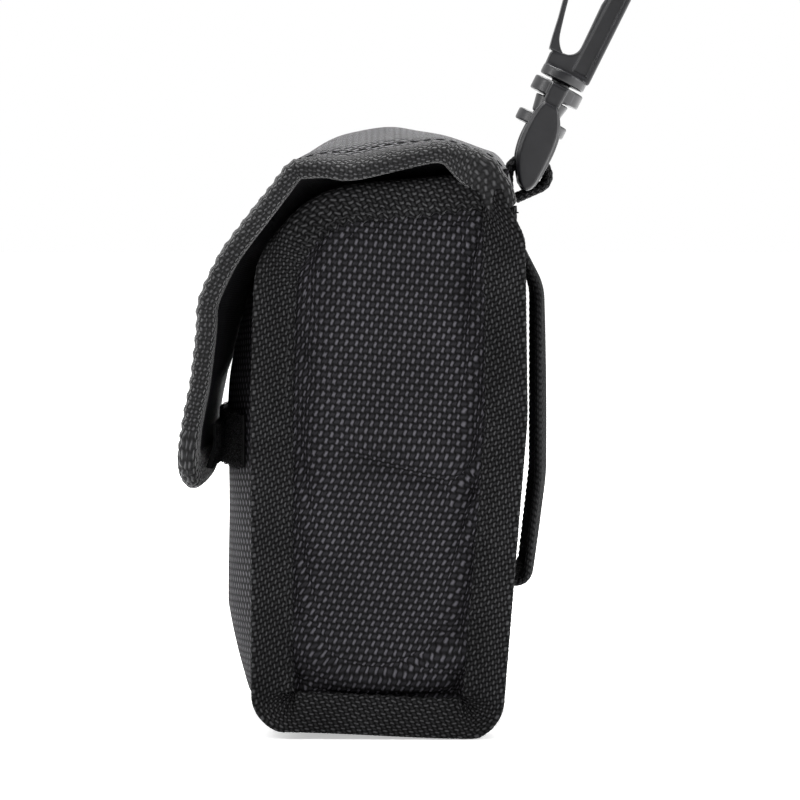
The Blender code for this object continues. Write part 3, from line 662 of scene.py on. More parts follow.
def simulate_panel(piece, pinned, slack, frames=18):
    """Lets slack cloth hang under light gravity with its border sewn down, and returns its points."""
    group = piece.vertex_groups.new(name="sewn")
    for index, weight in enumerate(pinned):
        if weight > 0:
            group.add([index], float(weight), "REPLACE")
    cloth = piece.modifiers.new("cloth", "CLOTH")
    settings = cloth.settings
    settings.quality = 6
    settings.mass = 0.25
    settings.tension_stiffness = settings.compression_stiffness = 18
    settings.shear_stiffness = 8
    settings.bending_stiffness = 2.0
    settings.vertex_group_mass = "sewn"
    settings.pin_stiffness = 1.0
    settings.shrink_min = -slack
    settings.use_pressure = False
    settings.effector_weights.gravity = 0.35
    cloth.collision_settings.use_collision = False
    cloth.point_cache.frame_start, cloth.point_cache.frame_end = 1, frames
    scene = bpy.context.scene
    scene.frame_start, scene.frame_end = 1, frames
    for number in range(1, frames + 1):
        scene.frame_set(number)
    graph = bpy.context.evaluated_depsgraph_get()
    mesh = piece.evaluated_get(graph).to_mesh()
    moved = np.empty(len(mesh.vertices) * 3)
    mesh.vertices.foreach_get("co", moved)
    piece.evaluated_get(graph).to_mesh_clear()
    piece.modifiers.remove(cloth)
    scene.frame_set(1)
    return moved.reshape(-1, 3) / MM


def build_side_panels(finishes):
    padding = bpy.context.scene.pouch_padding
    columns, rows = 56, 116
    y, z = side_grid(0.4, 0.4, columns, rows)
    s, t = np.linspace(-1, 1, columns)[None, :], np.linspace(-1, 1, rows)[:, None]
    inside = (1 - s ** 4) * (1 - t ** 6)
    border = np.minimum(np.minimum(s + 1, 1 - s) * 23, np.minimum(t + 1, 1 - t) * 58)
    puff = padding.side_puff * inside ** 0.8 * smoothstep(4, 11, border) \
        + creases(y, z) * smoothstep(2.5, 6, border) - 0.9 * bump_at(border, 6.3, 2.2)
    shape = np.stack([PANEL + puff - 0.2, y, z], axis=2)
    faces = [(r * columns + c, r * columns + c + 1, (r + 1) * columns + c + 1, (r + 1) * columns + c)
             for r in range(rows - 1) for c in range(columns - 1)]
    mesh = bpy.data.meshes.new("side_cloth")
    mesh.from_pydata((shape.reshape(-1, 3) * MM).tolist(), [], faces)
    trial = link("side_cloth", mesh)
    pinned = smoothstep(6.5, 4.5, border).ravel()
    moved = simulate_panel(trial, pinned, padding.sew_slack)
    moved = moved.reshape(rows, columns, 3)
    bpy.data.objects.remove(trial, do_unlink=True)
    shift = np.clip(moved - shape, -1.6, 1.6) * [1.0, 0.15, 0.15]
    shape = shape + shift
    for side, word in SIDES:
        grid = shape.copy()
        if side < 0:
            grid[..., 0] = -(PANEL - 0.2 + (shape[..., 0] - PANEL + 0.2) * 0.85)
        piece = slab(f"side_wall_{word}", grid, SHELL, finishes["panel"], flip=side > 0, flat=(y, z))
        settle(piece, "pouch", "nylon", f"side_panel_{word}", f"side_foam_{word}")
        y_in, z_in = side_grid(WALL + 0.5, 0.6, 40, 84)
        wave = 0.25 * ripple(y_in * 0.6, z_in * 0.5, 11 + side)
        inner = np.stack([side * (LINING_FACE + wave), y_in, z_in], axis=2)
        lining = slab(f"side_lining_cloth_{word}", inner, 0.8, finishes["lining"], flip=side < 0)
        settle(lining, "pouch", "lining", f"side_lining_{word}")


# Edge tapes

SEAM_SECTION = [
    # out from the strip's line, and x
    (-5.8, 42.8), (-4.0, 43.2), (-2.0, 43.7), (0.0, 44.8), (1.6, 45.8), (2.7, 46.0),
    (3.3, 45.2), (3.35, 43.6), (3.2, 41.5), (3.1, 39.3), (2.9, 37.0),
]
MOUTH_SECTION = [
    (-5.8, 42.8), (-3.6, 43.0), (-1.4, 43.0), (0.7, 42.7), (1.9, 41.9), (2.3, 40.6),
    (2.35, 38.2), (2.2, 36.0), (1.6, 34.6), (-1.4, 34.2), (-5.4, 34.1),
]
TAPE_THICK = 1.0


def section_loop(points, thickness, count):
    """A closed section: the outer line one way, and the line a thickness inside it back."""
    line = softened(smooth_line(points, 0.25), 2)
    total = np.linalg.norm(np.diff(line, axis=0), axis=1).sum()
    line = resampled(line, total / (count - 1))[:count]
    along = np.gradient(line, axis=0)
    along /= np.linalg.norm(along, axis=1)[:, None]
    inside = np.stack([along[:, 1], -along[:, 0]], axis=1)
    if (inside[count // 2] * (np.array([0, 40.0]) - line[count // 2])).sum() < 0:
        inside = -inside
    far = line + inside * thickness
    middle_a, middle_b = (line[-1] + far[-1]) / 2, (line[0] + far[0]) / 2
    reach = np.gradient(line, axis=0)
    tip = reach[-1] / np.linalg.norm(reach[-1]) * thickness * 0.3
    tail = reach[0] / np.linalg.norm(reach[0]) * thickness * 0.3
    return np.concatenate([line, [middle_a + tip], far[::-1], [middle_b - tail]])


def build_edge_tapes(finishes):
    """One tape a side: down the back, round the bottom, up the front and over the rim."""
    count = 26
    seam = section_loop(SEAM_SECTION, TAPE_THICK, count)
    mouth = section_loop(MOUTH_SECTION, TAPE_THICK, count)
    start = 9
    stop = int(np.argmax((STRIP[:, 0] > 20.2) & (STRIP[:, 1] > 115) & (STRIP_RUN > 200)))
    fine = resampled(STRIP[start:stop], 0.3)
    normal = outward(softened(fine, 10))
    run = np.arange(len(fine)) * 0.3
    corner = int(np.argmax((fine[:, 0] > -22.3) & (fine[:, 1] > 100) & (run > 150)))
    corner_run = run[corner]
    turn = np.abs(np.gradient(np.unwrap(np.arctan2(normal[:, 1], normal[:, 0])), run))
    turn = np.convolve(turn, np.ones(25) / 25, mode="same")
    to_mouth = smoothstep(corner_run - 9, corner_run + 3, run)
    leg = np.clip(1 - (seam[:, 0] + 5.8) / 7.5, 0, 1) * (seam[:, 1] > 41)
    for side, word in SIDES:
        section = (seam[None] * (1 - to_mouth[:, None, None]) + mouth[None] * to_mouth[:, None, None])
        wave = 0.42 * np.sin(run * tau / 2.9) + 0.45 * ripple(run, 0 * run, 5 + side)
        wave = wave * np.where(run > corner_run, 1.0, 0.4)
        section[..., 0] += leg[None, :] * wave[:, None]
        pleat = np.sin(run * tau / 2.3 + 0.8 * np.sin(run * 0.9)) * smoothstep(0.02, 0.06, turn)
        swell = 0.35 * ripple(run * 0.5, run * 0, 21 + side)
        section[..., 1] += (pleat[:, None] * 0.38 + swell[:, None]) * (0.35 + 0.65 * leg[None, :]) \
            * (seam[None, :, 1] > 41)
        top = smoothstep(109, 121.5, fine[:, 1]) * (run < 40)
        section[..., 0] -= 4.4 * top[:, None] * smoothstep(-6, 1, seam[None, :, 0])
        section[..., 1] -= 1.6 * top[:, None] * smoothstep(41, 45, seam[None, :, 1])
        lift = 1.5 * smoothstep(20, -25, fine[:, 0]) * smoothstep(16, 2, fine[:, 1])
        loops = np.empty((len(fine), section.shape[1], 3))
        loops[..., 0] = side * section[..., 1]
        loops[..., 1] = fine[:, 0][:, None] + normal[:, 0][:, None] * section[..., 0]
        loops[..., 2] = np.maximum(fine[:, 1][:, None] + normal[:, 1][:, None] * section[..., 0],
                                   0.0) + lift[:, None]
        piece = tube(f"edge_tape_{word}", loops, finishes["tape"], relief=0.13, pitch=0.95)
        settle(piece, "pouch", "tape", f"seam_tape_{word}", f"mouth_tape_{word}")


def front_rim_sections(step=0.35):
    """Sections of the tape over the front wall's top edge, from side to side."""
    half = LINING_FACE - 1.6
    end = STRIP[FRONT_END]
    out = STRIP_OUT[FRONT_END]
    along = np.array([out[1], -out[0]])
    line = [(-6.0, 1.25), (-3.0, 1.35), (0.2, 1.35), (1.0, 0.9), (1.3, 0.0), (1.35, -2.5),
            (1.3, -5.2), (0.9, -6.4), (0.0, -6.9), (-3.0, -7.1), (-6.0, -7.1)]
    fine = softened(smooth_line(line, 0.3), 2)
    fine = resampled(fine, np.linalg.norm(np.diff(fine, axis=0), axis=1).sum() / 29)[:30]
    far = fine.copy()
    far[:, 0] = np.minimum(fine[:, 0], 1.4) - 0.9 * smoothstep(-1.5, 1.0, fine[:, 0])
    inward = np.where(fine[:, 1] > -2.5, -0.9, 0.9)
    far[:, 1] = fine[:, 1] + inward * smoothstep(0.2, 2.4, np.abs(fine[:, 1] + 2.8))
    loop = np.concatenate([fine, far[::-1]])
    x = np.arange(-half, half + step, step)
    swell = wall_bulge(np.array(-22.0), np.array(end[1]), x / STRIP_HALF)
    place = end[None, None] + along * loop[None, :, :1] + out * (loop[None, :, 1:] + swell[:, None, None])
    return np.concatenate([np.broadcast_to(x[:, None, None], (len(x), len(loop), 1)), place], axis=2)


def build_front_rim(finishes):
    piece = tube("front_rim_tape", front_rim_sections(), finishes["tape"], relief=0.12, pitch=0.9)
    settle(piece, "pouch", "tape", "mouth_tape_front")


# Flap

FLAP_FRONT_ROWS = [
    # share of the drop, share of the standoff at the middle and at the edge
    (1.00, 0.985, 1.10), (0.93, 1.00, 1.125), (0.855, 0.995, 1.09), (0.80, 0.975, 1.055),
    (0.74, 0.92, 1.015), (0.66, 0.885, 0.94), (0.51, 0.85, 0.85), (0.43, 0.80, 0.84),
    (0.37, 0.74, 0.75), (0.285, 0.60, 0.57), (0.22, 0.45, 0.385), (0.14, 0.22, 0.13),
    (0.065, -0.05, -0.10),
]
FLAP_REAR_ROWS = [
    # Y and Z at the middle and at the edge, where the flap turns down into the back tape
    (21.4, 130.6, 18.9, 129.8), (24.0, 129.9, 22.4, 127.9), (25.6, 128.6, 25.0, 125.0),
    (26.5, 127.3, 26.9, 121.6), (26.9, 126.0, 28.4, 117.6),
]
FLAP_CROWN_ROWS = [
    # share of the depth, height over the seam at the middle and at the edge
    (0.10, 0.1, 0.08), (0.175, 0.43, 0.13), (0.26, 0.71, 0.09), (0.345, 0.86, 0.0),
    (0.50, 1.0, 0.19), (0.62, 0.92, 0.39), (0.735, 0.79, 0.53),
]
CROWN = 9.3
EDGE_DROOP = 2.2


def flap_lines():
    """The flap's outer line at its middle and at its edge, from the tip to the back seam."""
    rows = []
    for drop, middle, edge in FLAP_FRONT_ROWS:
        z = SEAM_Z + 0.8 - drop * FLAP_DROP
        rows.append((FRONT - middle * STANDOFF, z, FRONT - edge * STANDOFF, z))
    for share, middle, edge in FLAP_CROWN_ROWS:
        y = FRONT + share * (BACK - FRONT)
        rows.append((y, SEAM_Z + middle * CROWN, y, SEAM_Z + edge * CROWN))
    rows += FLAP_REAR_ROWS
    line = softened(smooth_line(rows, 0.5), 6)
    reach = np.concatenate([[0], np.cumsum(np.linalg.norm(np.diff(line[:, :2], axis=0), axis=1))])
    return line, reach


FLAP_LINE, FLAP_REACH = flap_lines()
MID_CROWN = float(np.interp(0.0, FLAP_LINE[FLAP_REACH > 60][:, 0], FLAP_REACH[FLAP_REACH > 60]))
FLAP_END = float(FLAP_REACH[-1])


def flap_surface(x, reach):
    """Points of the flap's outside at places x and distances up from the tip."""
    x, reach = np.broadcast_arrays(np.asarray(x, float), np.asarray(reach, float))
    y0, z0, y1, z1 = (np.interp(reach, FLAP_REACH, FLAP_LINE[:, k]) for k in range(4))
    droop = np.abs(x / HALF) ** EDGE_DROOP
    return np.stack([x, y0 + (y1 - y0) * droop, z0 + (z1 - z0) * droop], axis=-1)


def flap_normal(x, reach):
    """Outward normals of the flap at the same places."""
    across = flap_surface(np.asarray(x) + 0.4, reach) - flap_surface(np.asarray(x) - 0.4, reach)
    up = flap_surface(x, np.asarray(reach) + 0.4) - flap_surface(x, np.asarray(reach) - 0.4)
    normal = np.cross(across, up)
    return normal / np.maximum(np.linalg.norm(normal, axis=-1), 1e-9)[..., None]


def flap_half(reach, inset):
    """Half width of the flap's inner panel at a distance up from the tip."""
    corner = max(FLAP_CORNER - inset, 0.5)
    lack = np.clip(corner - (reach - inset), 0, corner)
    return HALF - inset - corner + np.sqrt(np.maximum(corner ** 2 - lack ** 2, 0.0))


def flap_wave(x, reach):
    """Padding and creases of the flap: full between its seams, folded where it bends."""
    inner = flap_half(reach, FLAP_BORDER)
    border = np.minimum(inner - np.abs(x), reach - FLAP_BORDER)
    full = 0.9 * smoothstep(-0.5, 6.0, border) - 0.75
    bend = -0.55 * bump_at(reach, 59.5 + 0.02 * x ** 2 / 10, 2.2) + 0.4 * bump_at(reach, 54.0, 3.0)
    inside = smoothstep(0, 8, border)
    return full + 0.35 * ripple(x * 0.5, reach * 0.55, 9) * inside + bend * inside


def sag_table():
    """How far the flap's lining can hang in at its middle before it meets the pouch."""
    reach = np.linspace(0, FLAP_END, 90)
    inside = flap_surface(0.0, reach) - flap_normal(np.zeros(90), reach) * FLAP_WALL
    line = STRIP[STRIP_RUN > 150]
    gap = np.linalg.norm(inside[:, None, 1:] - line[None], axis=2)
    nearest = gap.argmin(axis=1)
    height = line[nearest, 1]
    open_mouth = smoothstep(110, 118, height)
    keep = (wall_bulge(line[nearest, 0], height, 0.0) + 0.25) * (1 - open_mouth) - 0.6 * open_mouth
    sag = np.clip(gap.min(axis=1) - keep, 0, 10.5)
    sag = sag * smoothstep(77, 80, height) * smoothstep(21, 12, inside[:, 1])
    return reach, softened(sag[:, None], 6)[:, 0]


def flap_sag(x, reach):
    places, sag = sag_table()
    return np.interp(reach, places, sag) * np.clip(1 - (x / 34.0) ** 2, 0, 1) ** 0.5


def flap_sheet(start, end, depth, columns=76, step=0.9):
    """A grid of the flap's inner panel, a depth under its outside."""
    reach = np.linspace(start, end, max(3, int((end - start) / step)))[:, None]
    share = np.linspace(-1, 1, columns)[None, :]
    x = share * flap_half(reach, FLAP_BORDER - 0.6)
    normal = flap_normal(x, reach + 0 * x)
    swell = flap_wave(x, reach) if depth == 0 else 0.25 * flap_wave(x, reach) - flap_sag(x, reach)
    return flap_surface(x, reach + 0 * x) + normal * (swell - depth)[..., None]


def roll_sections(stations_in, stations_out):
    """Sections of the flap's rolled edge between its inner and outer border lines."""
    angles = np.linspace(0, tau, 30, endpoint=False)
    width = 0.5 + 0.5 * np.sign(np.cos(angles)) * np.abs(np.cos(angles)) ** 0.75
    depth = 0.5 - 0.5 * np.sign(np.sin(angles)) * np.abs(np.sin(angles)) ** 0.8
    inner, outer = stations_in[:, None, :], stations_out[:, None, :]
    flat = inner + (outer - inner) * width[None, :, None]
    x, reach = flat[..., 0], flat[..., 1]
    points = flap_surface(x, reach)
    normal = flap_normal(x, reach)
    run = np.concatenate([[0], np.cumsum(np.linalg.norm(np.diff(stations_out, axis=0), axis=1))])
    puckers = 0.16 * np.sin(run * tau / 3.1) + 0.22 * ripple(run * 0.6, run * 0, 31)
    puckers = puckers[:, None] * (depth < 0.5)[None, :]
    out = 0.35 * (1 - np.abs(2 * width - 1.25)) * (depth < 0.5)
    thick = FLAP_EDGE + 4.3 * smoothstep(FLAP_END - 22, FLAP_END - 4, reach)
    points = points + normal * (puckers + out[None, :] - depth[None, :] * thick)[..., None]
    end = smoothstep(FLAP_END - 7, FLAP_END, reach)
    points[..., 0] *= 1 - 0.075 * end * np.sqrt(depth)[None, :]
    return points


def border_line(inset, end):
    """One side of the flap's border from the tip's middle up to an end, as (x, reach)."""
    corner = max(FLAP_CORNER - inset, 0.6)
    half = HALF - inset
    run = [(0.0, inset), (half - corner, inset)]
    for piece in range(1, 19):
        angle = radians(5 * piece)
        run.append((half - corner + corner * sin(angle), inset + corner * (1 - cos(angle))))
    run.append((half, end))
    return np.array(run)


def matched(line, other, step):
    """Both border lines with the same stations."""
    run = np.concatenate([[0], np.cumsum(np.linalg.norm(np.diff(line, axis=0), axis=1))])
    places = np.linspace(0, run[-1], int(run[-1] / step))
    index = np.interp(places, run, np.arange(len(line)))
    out = np.stack([np.interp(index, np.arange(len(line)), line[:, k]) for k in range(2)], axis=1)
    inside = np.stack([np.interp(index, np.arange(len(other)), other[:, k]) for k in range(2)], axis=1)
    return out, inside


def build_flap(finishes):
    """Outer cloth and lining, each in a rear and a front half that meet on the crown."""
    halves = (
        ("rear", MID_CROWN, FLAP_END, ("pouch", "flap_top"), HINGE_BEND, "top"),
        ("front", FLAP_BORDER - 0.6, MID_CROWN, ("flap_top", "flap_front"), FOLD_BEND, "front"),
    )
    for word, start, end, bodies, line, node in halves:
        cover = slab(f"flap_cloth_{word}", flap_sheet(start, end, 0.0), 2.9, finishes["flap"],
                     soft_ends=False)
        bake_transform(cover)
        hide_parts(f"flap_{node}_panel", f"flap_{node}_foam")
        last = end if word == "front" else end - 1.5
        under = flap_sheet(start, last, 3.1, columns=60)
        lining = slab(f"flap_lining_{word}", under, FLAP_WALL - 3.1, finishes["lining"], soft_ends=False)
        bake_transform(lining)
        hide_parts(f"flap_{node}_lining")


def build_flap_edge(finishes):
    """The rolled edge: a rear length at each side and one front length round the tip."""
    step = 0.35
    reach = np.arange(MID_CROWN, FLAP_END, step)
    reach = np.append(reach, FLAP_END)
    for side, word in SIDES:
        outer = np.stack([np.full(len(reach), side * HALF), reach], axis=1)
        inner = outer - [side * FLAP_BORDER, 0]
        piece = tube(f"flap_edge_rear_{word}", roll_sections(inner, outer), finishes["roll"],
                     relief=0.13, pitch=0.95)
        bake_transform(piece)
        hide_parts(f"flap_top_tape_{word}")
    outer = border_line(0.0, MID_CROWN)
    inner = border_line(FLAP_BORDER, MID_CROWN)
    out, inside = matched(outer, inner, step)
    mirror = np.array([-1.0, 1.0])
    out = np.concatenate([(out * mirror)[:0:-1], out])
    inside = np.concatenate([(inside * mirror)[:0:-1], inside])
    piece = tube("flap_edge_front", roll_sections(inside, out), finishes["roll"], relief=0.13, pitch=0.95)
    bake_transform(piece)
    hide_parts("flap_front_tape")


# Closure

def loop_grid(lift=0.0):
    z = np.linspace(59.0, 71.0, 22)[:, None]
    x = np.linspace(-CLOSURE_HALF, CLOSURE_HALF, 90)[None, :]
    bulge = wall_bulge(np.array(-27.0), z, x / STRIP_HALF)
    y = FRONT - bulge - 1.39 - lift + 0 * x
    return np.stack([x + 0 * z, y, z + 0 * x], axis=2)


def hook_grid(lift=0.0):
    """From the flap's lining at its lower edge to the standing upper edge."""
    x = np.linspace(-CLOSURE_HALF, CLOSURE_HALF, 90)[None, :]
    t = np.linspace(0, 1, 22)[:, None]
    foot_reach = 59.0 - (SEAM_Z + 0.8 - FLAP_DROP)
    foot = flap_surface(x, foot_reach + 0 * x)[..., 1] + FLAP_EDGE + 0.3
    face = FRONT - 12.29
    y = foot + (face - foot) * np.minimum(1, 2 * t)
    return np.stack([x + 0 * t, y + lift, 59.0 + 10.0 * t + 0 * x], axis=2)


def build_closure(finishes):
    loops = slab("loop_band", loop_grid(), 0.8, finishes["closure"])
    settle(loops, "pouch", "closure", "loop_tape")
    hooks = slab("hook_band", hook_grid(), 1.0, finishes["closure"])
    settle(hooks, "flap_front", "closure", "hook_tape")
    pile = curls("loop_pile", loop_grid(0.05), 2600, 0.55, 0.085, 0, finishes["closure"])
    settle(pile, "pouch", "closure")
    teeth = curls("hook_teeth", hook_grid(1.1), 1500, 0.6, 0.11, 1, finishes["closure"])
    settle(teeth, "flap_front", "closure")


def node_group(name, inputs):
    """An empty Geometry Nodes tree with a mesh in and out and named inputs."""
    tree = bpy.data.node_groups.new(name, "GeometryNodeTree")
    tree.interface.new_socket("Geometry", in_out="INPUT", socket_type="NodeSocketGeometry")
    for label, kind, value in inputs:
        socket = tree.interface.new_socket(label, in_out="INPUT", socket_type=kind)
        if value is not None:
            socket.default_value = value
    tree.interface.new_socket("Geometry", in_out="OUTPUT", socket_type="NodeSocketGeometry")
    source, sink = tree.nodes.new("NodeGroupInput"), tree.nodes.new("NodeGroupOutput")
    return tree, source, sink


def chain(tree, kind, settings=(), **links):
    """A node with its inputs set or linked; each key is a socket's name with _ for a space."""
    node = tree.nodes.new(kind)
    for key, value in settings:
        setattr(node, key, value)
    for key, value in links.items():
        numbered = key.startswith("at")
        socket = node.inputs[int(key[2:]) if numbered else key.replace("_", " ")]
        if isinstance(value, bpy.types.NodeSocket):
            tree.links.new(value, socket)
        else:
            socket.default_value = value
    return node


def finish_tree(tree, sink, instances, material):
    real = chain(tree, "GeometryNodeRealizeInstances", Geometry=instances)
    painted = chain(tree, "GeometryNodeSetMaterial", Geometry=real.outputs[0], Material=material)
    tree.links.new(painted.outputs[0], sink.inputs[0])


def run_tree(name, tree, base, values, material):
    """Runs a tree on a base mesh with its inputs set, and keeps the result as a plain mesh."""
    modifier = base.modifiers.new(tree.name, "NODES")
    modifier.node_group = tree
    for item in tree.interface.items_tree:
        if item.in_out == "INPUT" and item.name in values:
            modifier[item.identifier] = values[item.name]
    piece = evaluated(base, name, material)
    bm = bmesh.new()
    bm.from_mesh(piece.data)
    bmesh.ops.recalc_face_normals(bm, faces=bm.faces)
    bm.to_mesh(piece.data)
    bm.free()
    shade(piece.data)
    return piece


def curl_tree(material, hooked):
    """Small bent filaments scattered over a face: closed loops of pile, or open hooks."""
    tree, source, sink = node_group("filaments", [
        ("Count", "NodeSocketFloat", 1.0), ("Height", "NodeSocketFloat", 0.0005),
        ("Thickness", "NodeSocketFloat", 0.0001), ("Seed", "NodeSocketInt", 3)])
    scatter = chain(tree, "GeometryNodeDistributePointsOnFaces", Mesh=source.outputs[0],
                    Density=source.outputs["Count"], Seed=source.outputs["Seed"])
    arc = chain(tree, "GeometryNodeCurveArc", at0=5, Radius=source.outputs["Height"],
                Start_Angle=0.0, Sweep_Angle=radians(250 if hooked else 200))
    upright = chain(tree, "GeometryNodeTransform", Geometry=arc.outputs[0])
    upright.inputs["Rotation"].default_value = (pi / 2, 0, 0)
    ring = chain(tree, "GeometryNodeCurvePrimitiveCircle", at0=3, Radius=source.outputs["Thickness"])
    wire = chain(tree, "GeometryNodeCurveToMesh", at0=upright.outputs[0], at1=ring.outputs[0])
    wire.inputs["Fill Caps"].default_value = True
    spin = chain(tree, "FunctionNodeRandomValue", (("data_type", "FLOAT"),), Seed=source.outputs["Seed"])
    spin.inputs[2].default_value, spin.inputs[3].default_value = 0.0, (0.5 if hooked else tau)
    turn = chain(tree, "ShaderNodeCombineXYZ", Z=spin.outputs[1])
    turned = chain(tree, "FunctionNodeRotateRotation", (("rotation_space", "LOCAL"),),
                   at0=scatter.outputs["Rotation"], at1=turn.outputs[0])
    spread = chain(tree, "GeometryNodeInstanceOnPoints", Points=scatter.outputs["Points"],
                   Instance=wire.outputs[0], Rotation=turned.outputs[0])
    finish_tree(tree, sink, spread.outputs[0], material)
    return tree


def grid_object(name, grid, flip=False):
    rows, columns = grid.shape[:2]
    faces = [(r * columns + c, r * columns + c + 1, (r + 1) * columns + c + 1, (r + 1) * columns + c)
             for r in range(rows - 1) for c in range(columns - 1)]
    if flip:
        faces = [face[::-1] for face in faces]
    mesh = bpy.data.meshes.new(name)
    mesh.from_pydata((grid.reshape(-1, 3) * MM).tolist(), [], faces)
    return link(name, mesh)


def curls(name, grid, count, height, thickness, hooked, material):
    base = grid_object(name, grid, flip=bool(hooked))
    area = sum(face.area for face in base.data.polygons)
    values = {"Count": count / area, "Height": height * MM, "Thickness": thickness * MM,
              "Seed": bpy.context.scene.pouch_cloth.seed}
    return run_tree(name, curl_tree(material, hooked), base, values, material)


# Stitches

def stitch_tree(material):
    """Short rounded threads laid along a line at an even pitch."""
    tree, source, sink = node_group("stitches", [
        ("Pitch", "NodeSocketFloat", 0.003), ("Length", "NodeSocketFloat", 0.002),
        ("Thread", "NodeSocketFloat", 0.0003)])
    line = chain(tree, "GeometryNodeMeshToCurve", Mesh=source.outputs[0])
    even = chain(tree, "GeometryNodeCurveToPoints", (("mode", "LENGTH"),), Curve=line.outputs[0],
                 Length=source.outputs["Pitch"])
    body = chain(tree, "GeometryNodeMeshUVSphere", Segments=8, Rings=6, Radius=0.5)
    size = chain(tree, "ShaderNodeCombineXYZ", X=source.outputs["Thread"], Y=source.outputs["Thread"],
                 Z=source.outputs["Length"])
    sized = chain(tree, "GeometryNodeTransform", Geometry=body.outputs[0], Scale=size.outputs[0])
    aim = chain(tree, "FunctionNodeAlignRotationToVector", (("axis", "Z"),),
                Vector=even.outputs["Tangent"])
    laid = chain(tree, "GeometryNodeInstanceOnPoints", Points=even.outputs["Points"],
                 Instance=sized.outputs[0], Rotation=aim.outputs[0])
    finish_tree(tree, sink, laid.outputs[0], material)
    return tree


def stitched(name, lines, material, pitch=2.9, length=2.0, thread=0.34):
    """One object with the stitches of several lines of points."""
    verts, edges = [], []
    for line in lines:
        first = len(verts)
        verts += [tuple(point) for point in np.asarray(line) * MM]
        edges += [(first + k, first + k + 1) for k in range(len(line) - 1)]
    mesh = bpy.data.meshes.new(name)
    mesh.from_pydata(verts, edges, [])
    values = {"Pitch": pitch * MM, "Length": length * MM, "Thread": thread * MM}
    return run_tree(name, stitch_tree(material), link(name, mesh), values, material)


def build_stitches(finishes):
    thread = finishes["thread"]
    stop = int(np.argmax((STRIP[:, 0] > 19) & (STRIP[:, 1] > 115) & (STRIP_RUN > 200)))
    path = STRIP[14:stop]
    out = outward(softened(path, 20))
    for side, word in SIDES:
        inner = path - out * 4.4
        seam = np.column_stack([np.full(len(path), side * 42.95), inner])
        piece = stitched(f"seam_stitches_{word}", [seam], thread)
        settle(piece, "pouch", "tape")
    rim = front_rim_sections(62 / 59)
    rim_line = rim[:, 4][:60]
    settle(stitched("front_rim_stitches", [rim_line], thread), "pouch", "tape")
    half = HALF - FLAP_BORDER - 0.6
    rear = np.arange(MID_CROWN, FLAP_END - 3, 0.6)
    lines = []
    for side, _ in SIDES:
        x = np.full(len(rear), side * half)
        lines.append(flap_surface(x, rear) + flap_normal(x, rear) * 0.05)
    piece = stitched("flap_stitches_rear", lines, thread)
    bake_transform(piece)
    front = resampled(border_line(FLAP_BORDER + 0.6, MID_CROWN), 0.6)
    lines = []
    for side, _ in SIDES:
        x, reach = front[:, 0] * side, front[:, 1]
        lines.append(flap_surface(x, reach) + flap_normal(x, reach) * 0.05)
    piece = stitched("flap_stitches_front", lines, thread)
    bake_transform(piece)


# Webbing

def band_loops(path, width, thickness, rib=0.14, pitch=1.5, step=0.3, bow=0.0):
    """Sections of a flat woven band along a middle line in the YZ plane, ribbed across."""
    fine = softened(resampled(path, step), 3)
    normal = outward(fine)
    run = np.arange(len(fine)) * step
    across = np.linspace(-1, 1, max(8, int(width / 1.2)))
    half = width / 2
    edge = thickness / 2 * (1 - 0.35 * np.abs(across) ** 8)
    fold = np.abs(((across * half) / 3.0 + 40) % 2 - 1)
    rib_wave = np.abs(np.sin(pi * (run[:, None] + fold[None, :] * 1.6) / pitch)) - 0.5
    top = edge[None] + rib * rib_wave
    low_wave = np.abs(np.sin(pi * (run[:, None] + 0.7 + fold[None, :] * 1.6) / pitch))
    low = edge[None] + rib * low_wave - 0.5 * rib
    x = np.broadcast_to(across * half, top.shape)
    held = np.sin(pi * np.clip(run / run[-1], 0, 1)) ** 0.7
    dip = bow * held[:, None] * (1 - across ** 2)[None]
    top, low = top - dip, low + dip
    upper = np.stack([x, fine[:, 0][:, None] + normal[:, 0][:, None] * top,
                      fine[:, 1][:, None] + normal[:, 1][:, None] * top], axis=2)
    under = np.stack([x, fine[:, 0][:, None] - normal[:, 0][:, None] * low,
                      fine[:, 1][:, None] - normal[:, 1][:, None] * low], axis=2)
    bulb = 0.25 + 0.3 * np.abs(np.sin(pi * run / pitch))
    right = (upper[:, -1] + under[:, -1]) / 2 + np.stack([bulb, 0 * bulb, 0 * bulb], axis=1)
    left = (upper[:, 0] + under[:, 0]) / 2 - np.stack([bulb, 0 * bulb, 0 * bulb], axis=1)
    return np.concatenate([upper, right[:, None], under[:, ::-1], left[:, None]], axis=1)


def back_face(height):
    """Outside of the back wall at its middle."""
    share = min(height / 71.2, 1.0)
    return BACK + 0.5 - 5.5 * (1 - share) + sin(pi * min(height / MOUTH_FRONT, 1.0))


